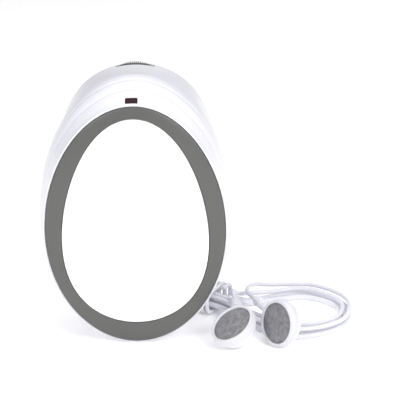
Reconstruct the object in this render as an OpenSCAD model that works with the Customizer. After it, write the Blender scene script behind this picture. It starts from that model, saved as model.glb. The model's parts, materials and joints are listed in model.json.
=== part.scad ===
/* [Body] */
// Half width of the body at its widest section
body_half_w = 35.5; // [33:0.1:43]
// Half height of the body at its widest section
body_half_h = 48.8; // [46:0.1:58]
// Depth of the body's widest section below the front ring
widest_depth = 20; // [17:0.5:24]
// Distance from the front ring down to the rear rim
rear_depth = 39.5; // [36:0.5:48]
// Wall thickness of the housing shells
wall = 2; // [1.6:0.1:2.4]

/* [Front] */
// Half width of the grey ring's outer edge
ring_half_w = 32.5; // [30:0.1:36]
// Half height of the grey ring's outer edge
ring_half_h = 44.9; // [42:0.1:50]
// Half width of the white front cover
cover_half_w = 26.1; // [22:0.1:27.5]
// Half height of the white front cover
cover_half_h = 38.85; // [34:0.1:40.5]
// Rise of the front cover's crown above its edge
crown = 1.4; // [0.4:0.1:3]
// Width of the indicator window
window_w = 4.5; // [3:0.1:6]
// Height of the indicator window, along the shoulder
window_h = 3.4; // [2.4:0.1:3.6]

/* [Probe] */
// Diameter of the probe where it stands out of the rear
probe_d = 46; // [38:0.5:48]
// Distance that the probe stands out of the rear face
probe_stand = 3; // [1:0.1:5]
// Diameter of the crystal pair behind the probe face
crystal_d = 28; // [20:1:34]

/* [Controls] */
// Diameter of the volume wheel over its teeth
wheel_d = 23; // [20:0.5:26]
// Thickness of the volume wheel
wheel_t = 2; // [1.6:0.1:3.4]
// Number of teeth round the volume wheel
wheel_teeth = 90; // [60:1:90]
// Diameter of the wheel's shaft
shaft_d = 4; // [3:0.1:5]
// Bore of a headphone socket
socket_d = 3.6; // [3.56:0.01:3.7]

/* [Battery] */
// Width of the block battery
battery_w = 26.5; // [25:0.1:27]
// Thickness of the block battery
battery_t = 17.5; // [15:0.1:17.5]
// Length of the block battery
battery_l = 48.5; // [44:0.1:49]

/* [Earphones] */
// Diameter of the cord from the plug to the split
cord_d = 2; // [1.6:0.1:2.2]
// Diameter of each cord from the split to an earpiece
branch_d = 1.6; // [1.2:0.1:1.8]
// Diameter of an earpiece's rim
bud_d = 17.6; // [15:0.1:19]
// Diameter of an earpiece's grille
grille_d = 14.8; // [12:0.1:15.5]
// Length of an earpiece's stem
stem_l = 15; // [11:0.5:18]

/* [Hidden] */

white = "#f4f5f8";
ring_grey = "#7f807f";
grey = "#9b9b9e";
board_green = "#2f6b3f";
metal = "#c9cbcf";
brass_tone = "#c9a24a";
dark = "#2c2d30";

eps = 0.01;
seam = 0.2;             // gap between moulded pieces that sit in each other
loop_points = 60;       // points round a shell's outline

// Heights along the device's own depth axis, from the probe face at 0
floor_z = probe_stand;             // outside of the rear face
floor_in = floor_z + wall;         // inside of the rear face
rim_round = 3.5;                   // rounding of the rear rim
rear_z = floor_z + rim_round;      // rear rim's widest section
ring_z = rear_z + rear_depth;      // plane of the front ring's outer edge
cover_z = ring_z + 1.2;            // front cover's edge
parting = 14.8;                    // depth of the main parting line
crease = 8.5;                      // depth of the upper crease
parting_z = ring_z - parting;

// Egg outlines: half width, half height, point, square, centre
ring_egg = [ring_half_w, ring_half_h, 0.039, -0.02, -2.66];
cover_egg = [cover_half_w, cover_half_h, 0.173, 0.077, -0.66];
widest_egg = [body_half_w, body_half_h, 0.03, -0.01, 0];
rear_egg = [body_half_w - 5.1, body_half_h - 4, 0, 0.22, 2.7];
flare_power = 0.616;

// The device stands on its wide end, cut flat at the foot, and faces -Y
device_depth = cover_z + crown;
foot = body_half_h - 0.4;

module stand() {
    translate([0, device_depth / 2, foot]) rotate([90, 0, 0]) children();
}

function mix(a, b, f) = a + (b - a) * f;
function smooth(f) = let (c = min(1, max(0, f))) c * c * (3 - 2 * c);
function egg_point(e, t) = [
    e[0] * sin(t) * (1 - e[2] * cos(t) + e[3] * cos(t) * cos(t)),
    e[4] + e[1] * cos(t)
];
function egg_slope(e, t) = [
    e[0] * (cos(t) * (1 - e[2] * cos(t) + e[3] * cos(t) * cos(t))
        + sin(t) * (e[2] * sin(t) - 2 * e[3] * cos(t) * sin(t))),
    -e[1] * sin(t)
];
// Outline grown outwards along its normal, anticlockwise from the top
function egg_loop(e, grow, z) = [
    for (i = [0:loop_points - 1])
        let (t = -360 * i / loop_points, p = egg_point(e, t), s = egg_slope(e, t))
        [p[0] - grow * s[1] / norm(s), p[1] + grow * s[0] / norm(s), z]
];
function flat_loop(e, grow) = [for (p = egg_loop(e, grow, 0)) [p[0], p[1]]];
function flare(f) = let (w = pow(f, flare_power)) w * w * (3 - 2 * w);
// Body section at depth d below the ring plane
function body_egg(d) = d < widest_depth
    ? mix(ring_egg, widest_egg, sin(90 * max(0, d) / widest_depth))
    : mix(widest_egg, rear_egg, flare(min(1, (d - widest_depth) / rear_depth_span)));
rear_depth_span = rear_depth - widest_depth;
function body_loop(d, grow) = egg_loop(body_egg(d), grow, ring_z - d);
// Wide end of the body at height z, at x from the middle
function end_y(z, x) = let (e = body_egg(ring_z - z))
    e[4] - e[1] * sqrt(1 - pow(x / (e[0] * (1 + e[2] + e[3])), 2));

// Closed skin through rings of points; open ends get a fan, joined ends close on themselves
module skin(rings, joined = false) {
    n = len(rings[0]);
    m = len(rings);
    flat = [for (r = rings) each r];
    low_mid = [for (k = [0:2]) (rings[0][0][k] + rings[0][floor(n / 2)][k]) / 2];
    high_mid = [for (k = [0:2]) (rings[m - 1][0][k] + rings[m - 1][floor(n / 2)][k]) / 2];
    sides = [
        for (i = [0:joined ? m - 1 : m - 2], j = [0:n - 1])
            let (a = i * n + j, b = i * n + (j + 1) % n,
                c = ((i + 1) % m) * n + (j + 1) % n, d = ((i + 1) % m) * n + j)
            each [[a, d, c], [a, c, b]]
    ];
    low_fan = [for (j = [0:n - 1]) [n * m, j, (j + 1) % n]];
    high_fan = [for (j = [0:n - 1]) [n * m + 1, (m - 1) * n + (j + 1) % n, (m - 1) * n + j]];
    polyhedron(
        points = joined ? flat : concat(flat, [low_mid, high_mid]),
        faces = joined ? sides : concat(sides, low_fan, high_fan));
}

// Cuts the body's outside flat where it stands
module foot_cut() {
    translate([-40, -foot - 10, -1]) cube([80, 10, device_depth + 2]);
}
module on_foot() {
    difference() {
        children();
        foot_cut();
    }
}

// ---------- Front ----------
module front_cover() {
    edge = cover_z;
    color(white) stand() skin([
        cover_loop(0.88, edge - 0.7),
        cover_loop(0.92, ring_base),
        cover_loop(1, ring_base),
        cover_loop(1, edge - 0.4),
        cover_loop(0.985, edge + 0.05),
        cover_loop(0.9, edge + crown * 0.3),
        cover_loop(0.7, edge + crown * 0.62),
        cover_loop(0.4, edge + crown * 0.9),
        cover_loop(0.05, edge + crown)
    ]);
}
// Front cover's outline drawn in to a share f of its size
function cover_loop(f, z) = [
    for (p = egg_loop(cover_egg, 0, z)) [p[0] * f, cover_egg[4] + (p[1] - cover_egg[4]) * f, z]
];
// Outline at a share f of the way from the cover's edge to the ring's outer edge
function band_loop(f, z) = let (
    inner = egg_loop(cover_egg, seam, z), outer = egg_loop(ring_egg, 0, z)
) [for (i = [0:loop_points - 1]) [mix(inner[i][0], outer[i][0], f), mix(inner[i][1], outer[i][1], f), z]];

ring_base = ring_z - 2.1;          // where the ring and cover rest on the front shell
module front_ring() {
    color(ring_grey) stand() skin([
        band_loop(0, ring_base),
        band_loop(1, ring_base),
        band_loop(1, ring_z - 0.5),
        band_loop(0.92, ring_z),
        band_loop(0.5, ring_z + 0.65),
        band_loop(0.06, cover_z - 0.1),
        band_loop(0, cover_z - 0.4)
    ], joined = true);
}

ledge_w = 8.5;                     // shelf under the ring and cover
ledge_t = 1.9;
lip = 0.6;                         // rim of the front shell round the ring
top_pillars = [17, 27];            // upper case screws, from the middle
low_pillars = [19, -27];           // lower case screws
board_posts = [27, -4];            // screws that hold the main board
pillar_r = 3;
pilot_r = 1.3;
joint_z = 13.8;                    // where the case screws' pillars meet the rear bosses
board_t = 1.6;
board_z = parting_z - 0.6;         // back of the main board
board_top = board_z + board_t;
volume_board_t = 1;

// Two copies, one each side of the middle
module pair(at) {
    for (side = [-1, 1]) translate([side * at[0], at[1], 0]) children();
}
module tube(outer, inner, low, high) {
    translate([0, 0, low]) difference() {
        cylinder(r = outer, h = high - low, $fn = 40);
        translate([0, 0, -1]) cylinder(r = inner, h = high - low + 2, $fn = 40);
    }
}

window_x = -0.4;
window_d = 3.1;                    // depth of the window's middle
window_tilt = 26;                  // the shoulder's slope there
module window_place() {
    e = body_egg(window_d);
    translate([window_x, e[4] + e[1], ring_z - window_d]) rotate([window_tilt, 0, 0]) children();
}
led_pocket = [window_w + 1, 6.5, 6.4];
module front_shell() {
    shelf = ring_base - ledge_t;
    color(white) stand() difference() {
        union() {
            on_foot() skin([
                egg_loop(ring_egg, seam, ring_base),
                egg_loop(ring_egg, -ledge_w, ring_base),
                egg_loop(ring_egg, -ledge_w, shelf),
                egg_loop(ring_egg, 0.4 - wall, shelf),
                body_loop(crease - 0.3, -wall),
                body_loop(crease - 0.3, -0.35),
                body_loop(crease - 0.6, 0),
                body_loop(crease - 2.5, 0),
                body_loop(crease - 5, 0),
                body_loop(1.4, 0.3),
                egg_loop(ring_egg, seam + lip + 0.1, ring_z - 0.9),
                egg_loop(ring_egg, seam, ring_z - 0.7)
            ], joined = true);
            pair(top_pillars) {
                tube(pillar_r, pilot_r, joint_z + volume_board_t, shelf + eps);
                tube(pillar_r + 1.2, pilot_r, board_top, shelf + eps);
            }
            pair(low_pillars) {
                tube(pillar_r, pilot_r, joint_z + tray_ear_t, shelf + eps);
                tube(pillar_r + 1.2, pilot_r, board_top, shelf + eps);
            }
            pair(board_posts) tube(2.4, 0.9, board_top, shelf + eps);
        }
        window_place() translate([-window_w / 2, -4, -window_h / 2]) cube([window_w, 8, window_h]);
        translate([window_x - led_pocket[0] / 2, ring_egg[1] + ring_egg[4] - 7.6, ring_base - led_pocket[2]])
            cube(led_pocket);
    }
}

module window_lens() {
    inset = 0.1;
    color("#5a1620") stand() window_place()
        translate([-window_w / 2 + inset, -3, -window_h / 2 + inset])
            cube([window_w - 2 * inset, 2.7, window_h - 2 * inset]);
}
led_size = [4, 2, 5];
led_y = body_egg(window_d)[1] + body_egg(window_d)[4] - 5.4;
led_z = ring_z - window_d - 4.9;
module indicator_led() {
    color("#8c1f2b") stand() translate([window_x - led_size[0] / 2, led_y, led_z]) union() {
        cube(led_size);
        translate([led_size[0] / 2, led_size[1] / 2, led_size[2]]) rotate([0, 0, 0])
            cylinder(r = 0.8, h = 0.5, $fn = 24);
    }
}
module led_leads() {
    color(metal) stand() for (side = [-1, 1])
        translate([window_x + side * 1.27 - 0.25, led_y + led_size[1] / 2 - 0.25, board_top])
            cube([0.5, 0.5, led_z - board_top]);
}

band_bulge = 0.35;                 // swell of the trim band between its creases
module trim_band() {
    low = parting - 0.1;
    high = crease + 0.1;
    color(white) stand() on_foot() skin([
        body_loop(high, -wall),
        body_loop(low, -wall),
        body_loop(low, -0.35),
        body_loop(low - 0.4, 0),
        body_loop(mix(low, high, 0.35), band_bulge * 0.8),
        body_loop(mix(low, high, 0.65), band_bulge),
        body_loop(high + 0.4, 0),
        body_loop(high, -0.35)
    ], joined = true);
}

// ---------- Rear ----------
hatch_half_w = 14.2;
hatch_top_y = -27.6;               // upper edge of the hatch on the rear face
hatch_z = parting_z - 1.3;         // the hatch's front edge on the end wall
module rear_skin() {
    steps = 10;
    outer = [for (i = [0:steps]) body_loop(mix(rear_depth, parting + 0.7, i / steps), 0)];
    inner = [for (i = [0:steps]) body_loop(mix(parting + 0.1, rear_depth, i / steps), -wall)];
    on_foot() skin(concat(
        [for (a = [90, 65, 40, 18]) egg_loop(rear_egg, -rim_round * (1 - cos(a)), rear_z - rim_round * sin(a))],
        outer,
        [body_loop(parting + 0.1, -0.35)],
        inner,
        [egg_loop(rear_egg, -wall - 1, floor_in)]
    ));
}
// Space that the battery hatch fills, grown by a clearance
module hatch_block(grow) {
    translate([-hatch_half_w - grow, -foot - 8, -2])
        cube([2 * (hatch_half_w + grow), foot + 8 + hatch_top_y + grow, hatch_z + 2 + grow]);
}
probe_hole = probe_d / 2 + seam;
socket_y = -19.4;
socket_z = 8.7;
socket_x = 16.6;                   // back of a socket's body
wheel_r = wheel_d / 2;
wheel_z = 6;                       // rear side of the wheel
wheel_out = -0.1;                  // top of the wheel over the body's own half height
wheel_y = foot + wheel_out - wheel_r;
wheel_gap = 0.5;
tray_posts = [11, 26];
module rear_shell() {
    color(white) stand() difference() {
        union() {
            rear_skin();
            pair(top_pillars) translate([0, 0, floor_in - 1]) cylinder(r = pillar_r, h = joint_z - floor_in + 1, $fn = 40);
            pair(low_pillars) translate([0, 0, floor_in - 1]) cylinder(r = pillar_r, h = joint_z - floor_in + 1, $fn = 40);
            pair(tray_posts) translate([0, 0, floor_in - 1]) cylinder(r = 2.1, h = tray_z - floor_in + 1, $fn = 32);
        }
        translate([0, 0, -1]) cylinder(r = probe_hole, h = 10, $fn = 90);
        hatch_block(hatch_gap);
        for (at = [top_pillars, low_pillars]) pair(at) {
            translate([0, 0, floor_z - 1]) cylinder(r = 2.4, h = 1 + 2.6, $fn = 32);
            translate([0, 0, floor_z]) cylinder(r = 1.5, h = 20, $fn = 32);
        }
        pair(tray_posts) translate([0, 0, floor_in + 0.6]) cylinder(r = 0.9, h = 10, $fn = 24);
        translate([0, wheel_y, wheel_z - wheel_gap]) cylinder(r = wheel_r + 0.7, h = wheel_t + 2 * wheel_gap, $fn = 90);
        for (side = [-1, 1]) translate([side * (socket_x + 4), socket_y, socket_z])
            rotate([0, side * 90, 0]) cylinder(r = socket_nose_r + seam, h = 20, $fn = 40);
    }
}
hatch_gap = 0.25;

tray_z = 11.2;                     // back of the battery tray's floor
tray_t = 1;
tray_wall = 1.2;
tray_ear_t = 1;
cell_gap = 0.2;                    // room round the battery
battery_z = tray_z + tray_t + cell_gap;
battery_y = -34.6;                 // battery's lower end
snap_l = 5.6;
tray_half_w = battery_w / 2 + cell_gap + tray_wall;
tray_end = battery_y + battery_l + snap_l + 1;

foot_half_w = 11;
foot_low = 9;                      // rear end of the foot
rib_x = 5;
pad_t = 1.5;
module end_block(half_w, low, high, at_x, inner_y, sunk) {
    heights = [for (i = [0:6]) mix(low, high, i / 6)];
    multmatrix([[0, 0, 1, -half_w], [1, 0, 0, 0], [0, 1, 0, 0], [0, 0, 0, 1]])
        linear_extrude(2 * half_w)
            polygon(concat([for (z = heights) [end_y(z, at_x) + sunk, z]], [[inner_y, high], [inner_y, low]]));
}
module battery_hatch() {
    rib_end = battery_y - cell_gap - pad_t;
    color(white) stand() union() {
        intersection() {
            rear_skin();
            hatch_block(0);
        }
        end_block(foot_half_w, foot_low, hatch_z, foot_half_w, -foot, 0.8);
        for (side = [-1, 1]) {
            translate([side * rib_x, 0, 0]) end_block(0.6, 14, 27, rib_x, rib_end, 0.9);
            translate([side * (hatch_half_w - 0.7), 0, 0]) end_block(0.7, 16, 27, hatch_half_w, rib_end, 0.9);
        }
    }
}
module hatch_pad() {
    color(dark) stand() translate([-rib_x - 2, battery_y - cell_gap - pad_t, 14])
        cube([2 * rib_x + 4, pad_t, 13]);
}

// ---------- Probe ----------
lens_t = 2.2;
crystal_t = 1.2;
backing_t = 3.4;
shield_t = 0.5;
housing_top = 8.5;
flange_w = 1.8;                    // clears the volume wheel
module probe_housing() {
    r = probe_d / 2;
    color("#e9eaee") stand() rotate_extrude($fn = 90) polygon([
        [r - 1.8, 0.5], [r - 0.6, 0.5], [r, 1.1], [r, floor_in], [r + flange_w, floor_in],
        [r + flange_w, floor_in + 1.4], [r, floor_in + 1.4], [r, housing_top], [r - 4, housing_top],
        [r - 4, lens_t], [r - 1.8, lens_t]
    ]);
}
module probe_face() {
    r = probe_d / 2 - 1.8 - seam;
    color(grey) stand() rotate_extrude($fn = 90)
        polygon([[0, 0], [r - 0.8, 0], [r, 0.8], [r, lens_t], [0, lens_t]]);
}
divider_t = 1;
module half_crystal(side) {
    color(brass_tone) stand() translate([0, 0, lens_t]) intersection() {
        cylinder(r = crystal_d / 2, h = crystal_t, $fn = 64);
        translate([side > 0 ? divider_t / 2 : -crystal_d, -crystal_d, -1])
            cube([crystal_d - divider_t / 2, 2 * crystal_d, crystal_t + 2]);
    }
}
module transmit_crystal() { half_crystal(-1); }
module receive_crystal() { half_crystal(1); }
module crystal_divider() {
    color("#b58c5a") stand() translate([-divider_t / 2, -crystal_d / 2, lens_t])
        cube([divider_t, crystal_d, crystal_t]);
}
backing_r = probe_d / 2 - 4 - seam;
module probe_backing() {
    color("#4a4c50") stand() translate([0, 0, lens_t + crystal_t])
        cylinder(r = backing_r, h = backing_t, $fn = 64);
}
module probe_shield() {
    color(metal) stand() translate([0, 0, lens_t + crystal_t + backing_t])
        cylinder(r = backing_r, h = shield_t, $fn = 64);
}

// ---------- Volume control ----------
control_z = wheel_z + wheel_t + 0.4;
control_h = joint_z - control_z;
wheel_fit = 0.03;
control_r = wheel_r - 3.5;
module volume_wheel() {
    depth = 0.8;
    teeth = wheel_teeth;
    color("#6f7072") stand() translate([0, wheel_y, wheel_z]) difference() {
        linear_extrude(wheel_t) polygon([
            for (i = [0:teeth - 1], k = [0:3])
                let (r = k < 2 ? wheel_r : wheel_r - depth, a = 360 * (i + [-0.16, 0.16, 0.34, 0.66][k]) / teeth)
                [r * cos(a), r * sin(a)]
        ]);
        translate([0, 0, -1]) cylinder(r = shaft_d / 2 + 0.01, h = wheel_t + 2, $fn = 40);
    }
}
module wheel_shaft() {
    color(metal) stand() translate([0, wheel_y, wheel_z]) difference() {
        cylinder(r = shaft_d / 2, h = joint_z - wheel_z - 0.5, $fn = 40);
        translate([0, 0, -1]) cylinder(r = 0.85, h = 5, $fn = 24);
    }
}
module wheel_screw() {
    color(metal) stand() translate([0, wheel_y, wheel_z]) union() {
        translate([0, 0, -0.6]) cylinder(r = shaft_d / 2 + 0.4, h = 0.6, $fn = 32);
        cylinder(r = 0.8, h = 3.6, $fn = 24);
    }
}
module volume_control() {
    color("#3a3b3e") stand() translate([0, wheel_y, control_z]) difference() {
        union() {
            cylinder(r = control_r, h = control_h, $fn = 64);
            translate([-6, -control_r - 1.4, control_h - 1.2]) cube([12, 5, 1.2]);
        }
        translate([0, 0, -1]) cylinder(r = shaft_d / 2 + wheel_fit, h = control_h - 0.2 + 1, $fn = 40);
    }
}
module volume_board() {
    color(board_green) stand() translate([0, 0, joint_z]) linear_extrude(volume_board_t) difference() {
        union() {
            translate([-11, top_pillars[1] - 2]) square([22, 17.5]);
            pair(top_pillars) circle(r = pillar_r, $fn = 40);
            translate([-top_pillars[0], top_pillars[1] - 2]) square([2 * top_pillars[0], 4]);
        }
        pair(top_pillars) circle(r = 1.5, $fn = 32);
    }
}

// ---------- Boards ----------
module main_board() {
    color(board_green) stand() translate([0, 0, board_z]) linear_extrude(board_t) difference() {
        polygon(flat_loop(body_egg(parting), -wall - 1.2));
        pair(top_pillars) circle(r = pillar_r + seam, $fn = 40);
        pair(low_pillars) circle(r = pillar_r + seam, $fn = 40);
        pair(board_posts) circle(r = 1.2, $fn = 24);
    }
}
module chip(at, size, colour) {
    color(colour) stand() translate([at[0] - size[0] / 2, at[1] - size[1] / 2, board_top]) cube(size);
}
module processor_chip() { chip([2, -6], [10, 10, 1.6], dark); }
module amplifier_chip() { chip([-13, 12], [4, 5, 1.5], dark); }
module voltage_regulator() { chip([12, 18], [6.5, 7, 1.8], dark); }
module oscillator_can() { chip([14, -8], [11, 4.6, 3.5], metal); }
module board_capacitors() {
    color("#2b3550") stand() for (at = [[-14, -8], [-14, -16], [4, 20]])
        translate([at[0], at[1], board_top]) cylinder(r = 2.5, h = 6.5, $fn = 32);
}
module board_screws() {
    color(metal) stand() pair(board_posts) {
        translate([0, 0, board_z - 1.2]) cylinder(r = 1.9, h = 1.2, $fn = 32);
        translate([0, 0, board_z]) cylinder(r = 0.8, h = 6, $fn = 24);
    }
}
module case_screws() {
    color(metal) stand() for (at = [top_pillars, low_pillars]) pair(at) {
        translate([0, 0, floor_z + 0.8]) cylinder(r = 2.2, h = 1.8, $fn = 32);
        translate([0, 0, floor_z + 2.6]) cylinder(r = 1.2, h = 20, $fn = 32);
    }
}

// ---------- Headphone sockets ----------
socket_nose_r = 2.8;
socket_body = [8.1, 6, 4.4];
function flank_x(y, z) = let (e = body_egg(ring_z - z), c = (y - e[4]) / e[1], s = sqrt(1 - c * c))
    e[0] * s * (1 - e[2] * c + e[3] * c * c);
socket_face = flank_x(socket_y, socket_z) - 0.6;
module socket(side) {
    color(dark) stand() translate([0, socket_y, socket_z]) difference() {
        union() {
            translate([side > 0 ? socket_x : -socket_x - socket_body[0], -socket_body[1] / 2, -socket_body[2] / 2])
                cube(socket_body);
            rotate([0, side * 90, 0]) translate([0, 0, socket_x + 1])
                cylinder(r = socket_nose_r - 0.7, h = socket_face - socket_x - 1, $fn = 40);
        }
        rotate([0, side * 90, 0]) translate([0, 0, socket_x - 1])
            cylinder(r = socket_d / 2, h = 40, $fn = 40);
    }
}
module right_socket() { socket(1); }
module left_socket() { socket(-1); }
socket_board_t = 0.8;
module socket_board() {
    color(board_green) stand() for (side = [-1, 1])
        translate([side > 0 ? socket_x : -socket_x - 7.8, socket_y - 3.6, socket_z + socket_body[2] / 2])
            cube([7.8, 7.2, socket_board_t]);
}

// ---------- Battery ----------
module battery_tray() {
    color("#d9dbe0") stand() union() {
        translate([-tray_half_w, battery_y, tray_z]) cube([2 * tray_half_w, tray_end - battery_y + tray_wall, tray_t]);
        translate([-tray_half_w, tray_end, tray_z]) cube([2 * tray_half_w, tray_wall, 11]);
        for (side = [-1, 1])
            translate([side > 0 ? tray_half_w - tray_wall : -tray_half_w, battery_y, tray_z])
                cube([tray_wall, tray_end - battery_y + tray_wall, 11]);
        difference() {
            pair(tray_posts) union() {
                translate([0, 0, tray_z]) cylinder(r = 2.1, h = tray_t, $fn = 32);
                translate([-2.1, tray_end - tray_posts[1], tray_z]) cube([4.2, tray_posts[1] - tray_end, tray_t]);
            }
            pair(tray_posts) translate([0, 0, tray_z - 1]) cylinder(r = 1.1, h = 4, $fn = 24);
        }
        for (side = [-1, 1]) difference() {
            translate([0, 0, joint_z]) union() {
                translate([side * low_pillars[0], low_pillars[1], 0]) cylinder(r = pillar_r, h = tray_ear_t, $fn = 40);
                translate([side > 0 ? tray_half_w - 0.4 : -low_pillars[0], low_pillars[1] - 2, 0])
                    cube([low_pillars[0] - tray_half_w + 0.4, 4, tray_ear_t]);
            }
            translate([side * low_pillars[0], low_pillars[1], joint_z - 1]) cylinder(r = 1.5, h = 4, $fn = 32);
        }
    }
}
module tray_screws() {
    color(metal) stand() pair(tray_posts) {
        translate([0, 0, tray_z + tray_t]) cylinder(r = 1.8, h = 1.1, $fn = 32);
        translate([0, 0, tray_z + tray_t - 5]) cylinder(r = 0.8, h = 5, $fn = 24);
    }
}
module battery() {
    body_l = battery_l - 2.4;
    color("#30343c") stand() translate([-battery_w / 2, battery_y, battery_z]) cube([battery_w, body_l, battery_t]);
}
terminal_x = 6.35;
module battery_terminals() {
    top = battery_y + battery_l - 2.4;
    color(metal) stand() translate([0, top, battery_z + battery_t / 2]) rotate([-90, 0, 0]) {
        translate([-terminal_x, 0, 0]) cylinder(r = 2.9, h = 2.4, $fn = 32);
        translate([terminal_x, 0, 0]) cylinder(r = 4, h = 2.4, $fn = 6);
    }
}
module battery_snap() {
    base = battery_y + battery_l;
    color(dark) stand() translate([-12.5, base, battery_z + 2.5]) cube([25, 3.6, battery_t - 5]);
}

// ---------- Leads ----------
lead_d = 1.2;
module probe_lead() {
    top = lens_t + crystal_t + backing_t + shield_t;
    x = 4;
    over = housing_top + 1.3;
    rise = 23.4;
    run = [[x, 12, top + 0.03], [x, 12, top + 1.2], [x, 13.6, over], [x, 17, over], [x, 21, over], [x, 23, over + 1.2],
        [x, rise, over + 3.2], [x, rise, 22], [x, rise, board_z - 2], [x, rise, board_z]];
    color(dark) stand() sweep(smooth_path(run, 3), lead_d / 2, 8, [1, 0, 0]);
}
module battery_leads() {
    top = battery_z + battery_t - 2.5;
    color("#b3262a") stand() for (side = [-1, 1])
        translate([side * 3, battery_y + battery_l + 1.8, top]) cylinder(r = 0.6, h = board_z - top, $fn = 24);
}
module socket_lead() {
    low = socket_z + socket_body[2] / 2 + socket_board_t;
    color("#3f78b8") stand() for (side = [-1, 1])
        translate([side * 20, -20.5, low]) cylinder(r = 0.5, h = board_z - low, $fn = 24);
}

// ---------- Swept cords ----------
function unit(v) = v / norm(v);
function away(v, t) = unit(v - (v * t) * t);
function tangents(p) = let (n = len(p)) [
    for (i = [0:n - 1]) unit(unit(p[min(n - 1, i + 1)] - p[i == n - 1 ? i - 1 : i])
        + unit(p[i == 0 ? 1 : i] - p[max(0, i - 1)]))
];
// Normals carried from point to point along the cord
function carried(t, first) = [for (i = 0, n = away(first, t[0]); i < len(t); i = i + 1,
    n = i < len(t) ? away(n, t[i]) : n) n];
function tube_rings(p, r, sides, first) = let (t = tangents(p), n = carried(t, first)) [
    for (i = [0:len(p) - 1]) let (m = cross(t[i], n[i]))
        [for (j = [0:sides - 1]) let (a = 360 * (j + 0.5) / sides) p[i] + r * (cos(a) * n[i] + sin(a) * m)]
];
module sweep(p, r, sides, first) {
    skin(tube_rings(p, r, sides, first));
}
// Rounded run through hand-set points, with n steps between neighbours
function smooth_path(p, n) = let (m = len(p)) concat([
    for (i = [0:m - 2], k = [0:n - 1]) let (
        a = p[max(0, i - 1)], b = p[i], c = p[i + 1], d = p[min(m - 1, i + 2)], f = k / n)
        0.5 * (2 * b + (c - a) * f + (2 * a - 5 * b + 4 * c - d) * f * f + (3 * b - a - 3 * c + d) * f * f * f)
], [p[m - 1]]);

// Least gap of one swept cord to itself, leaving out its near neighbours
function self_gap(p, d, skip) = min([
    for (i = [0:len(p) - 2 - skip], j = [i + skip:len(p) - 2]) span(p[i], p[i + 1], p[j], p[j + 1])
]) - d;
function least_gap(p, q, d) = min([
    for (i = [0:len(p) - 2], j = [0:len(q) - 2]) span(p[i], p[i + 1], q[j], q[j + 1])
]) - d;
function clamp(v) = min(1, max(0, v));
// Distance between the segments a-b and c-e
function span(a, b, c, e) = let (
    u = b - a, v = e - c, w = a - c, uu = u * u, uv = u * v, vv = v * v, uw = u * w, vw = v * w,
    k = uu * vv - uv * uv, f = k < 1e-9 ? 0 : clamp((uv * vw - vv * uw) / k), g = clamp((uv * f + vw) / vv),
    h = clamp((uv * g - uw) / uu)) norm(a + u * h - c - v * g);

// ---------- Earphone cord, gathered as a tied hank ----------
hank_at = [28.5, 10];              // where the tie sits on the table
hank_mid = 19.6;                     // middle of the hank, along it from the tie
hank_reach = 32.2;                   // half length of the outer loop
turn_in = 2.7;                     // each turn's end lies this far inside the one before
waist_w = 6.2;
waist_pitch = 2.85;
right_fan = 19.5;                  // how far the loops open to the right of the tie
left_fan = 5.2;
lift_h = 2.5;                      // the tie holds the hank off the table
upper = 2.6;                       // second layer above the first
function bend(s) = (s - sqrt(s * s + 36)) / 2 + 3;
function hank_bend(s) = s < 0 ? 0.95 : 0.75;
function hank_centre(s) = [hank_at[0] + s, hank_at[1] - 0.2 * s - hank_bend(s) * bend(s)];
function hank_slope(s) = -0.2 - hank_bend(s) * (1 - s / sqrt(s * s + 36)) / 2;
function hank_normal(s) = unit([-hank_slope(s), 1]);
function hank_w(s) = waist_w + (s > 0 ? right_fan * smooth(s / 36) : left_fan * smooth(-s / 11));
function hank_pitch(s) = waist_pitch + (s > 0 ? 1.9 * smooth(s / 30) : 0.95 * smooth(-s / 9));
function lift(s) = lift_h * exp(-pow(s / 9.5, 4));
function bow(t) = sign(sin(360 * t)) * pow(abs(sin(360 * t)), 0.8);
// Point at turn t of the hank, on the loop that lies g turns in
function hank_point(t, g, z) = let (
    s = hank_mid - (hank_reach - g * turn_in) * cos(360 * t),
    c = hank_centre(s) - bow(t) * (hank_w(s) - g * hank_pitch(s)) * hank_normal(s)
) [c[0], c[1], z + lift(s)];
function run(from, to, g0, steps, z, way) = [
    for (i = [0:steps]) let (f = i / steps, t = mix(from, to, f)) hank_point(t, g0 + way * (t - from), z)
];

low_z = cord_d / 2;
high_z = low_z + upper;
split_at = 1.852;                  // turn at which the cord splits
split_t = 0.052;                   // length of the split, in turns
leave_left = 0.74;
leave_right = 0.68;
function heading(p) = unit(p[len(p) - 1] - p[len(p) - 2]);
hank_flat = run(0, split_at, 0, 45, low_z, 1);
split_rise = 1.4;                  // the cord rises between the layers to meet the split
hank_core = [for (i = [0:45]) hank_flat[i] + [0, 0, split_rise * smooth((i - 42) / 3)]];
left_core = run(split_at + split_t - 2, leave_left, 1.85, 21, high_z, -0.9);
right_core = run(split_at + split_t - 2, leave_right, 0.95, 21, high_z, -0.95);
// The cord and its branches run straight for one diameter where they meet the split
split_way = let (d = left_core[0] - hank_core[45]) unit([d[0], d[1], 0]);
hank_run = concat(hank_core, [hank_core[45] + cord_d * split_way]);
left_run = concat([left_core[0] - branch_d * split_way], left_core);
right_run = concat([right_core[0] - (branch_d + (right_core[0] - left_core[0]) * split_way) * split_way], right_core);

wrap_turns = 3.22;
wrap_rings = 70;
wrap_half = [8.1, 3.9];
wrap_z = 4.7;
tie_normal = hank_normal(0);
tie_along = [tie_normal[1], -tie_normal[0]];
// Point beside the tie: distance along the hank, distance across it, height
function by_tie(s, n, z) = let (c = hank_at + s * tie_along + n * tie_normal) [c[0], c[1], z];
function blunt(v) = sign(v) * sqrt(abs(v));
wrap_run = [for (i = [0:wrap_rings]) let (f = i / wrap_rings, a = 10 + 360 * wrap_turns * f)
    by_tie(mix(-4.4, 3.4, f), -0.45 + wrap_half[0] * blunt(cos(a)), wrap_z + wrap_half[1] * blunt(sin(a)))];

left_end = left_run[len(left_run) - 1];
right_end = right_run[len(right_run) - 1];

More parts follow.
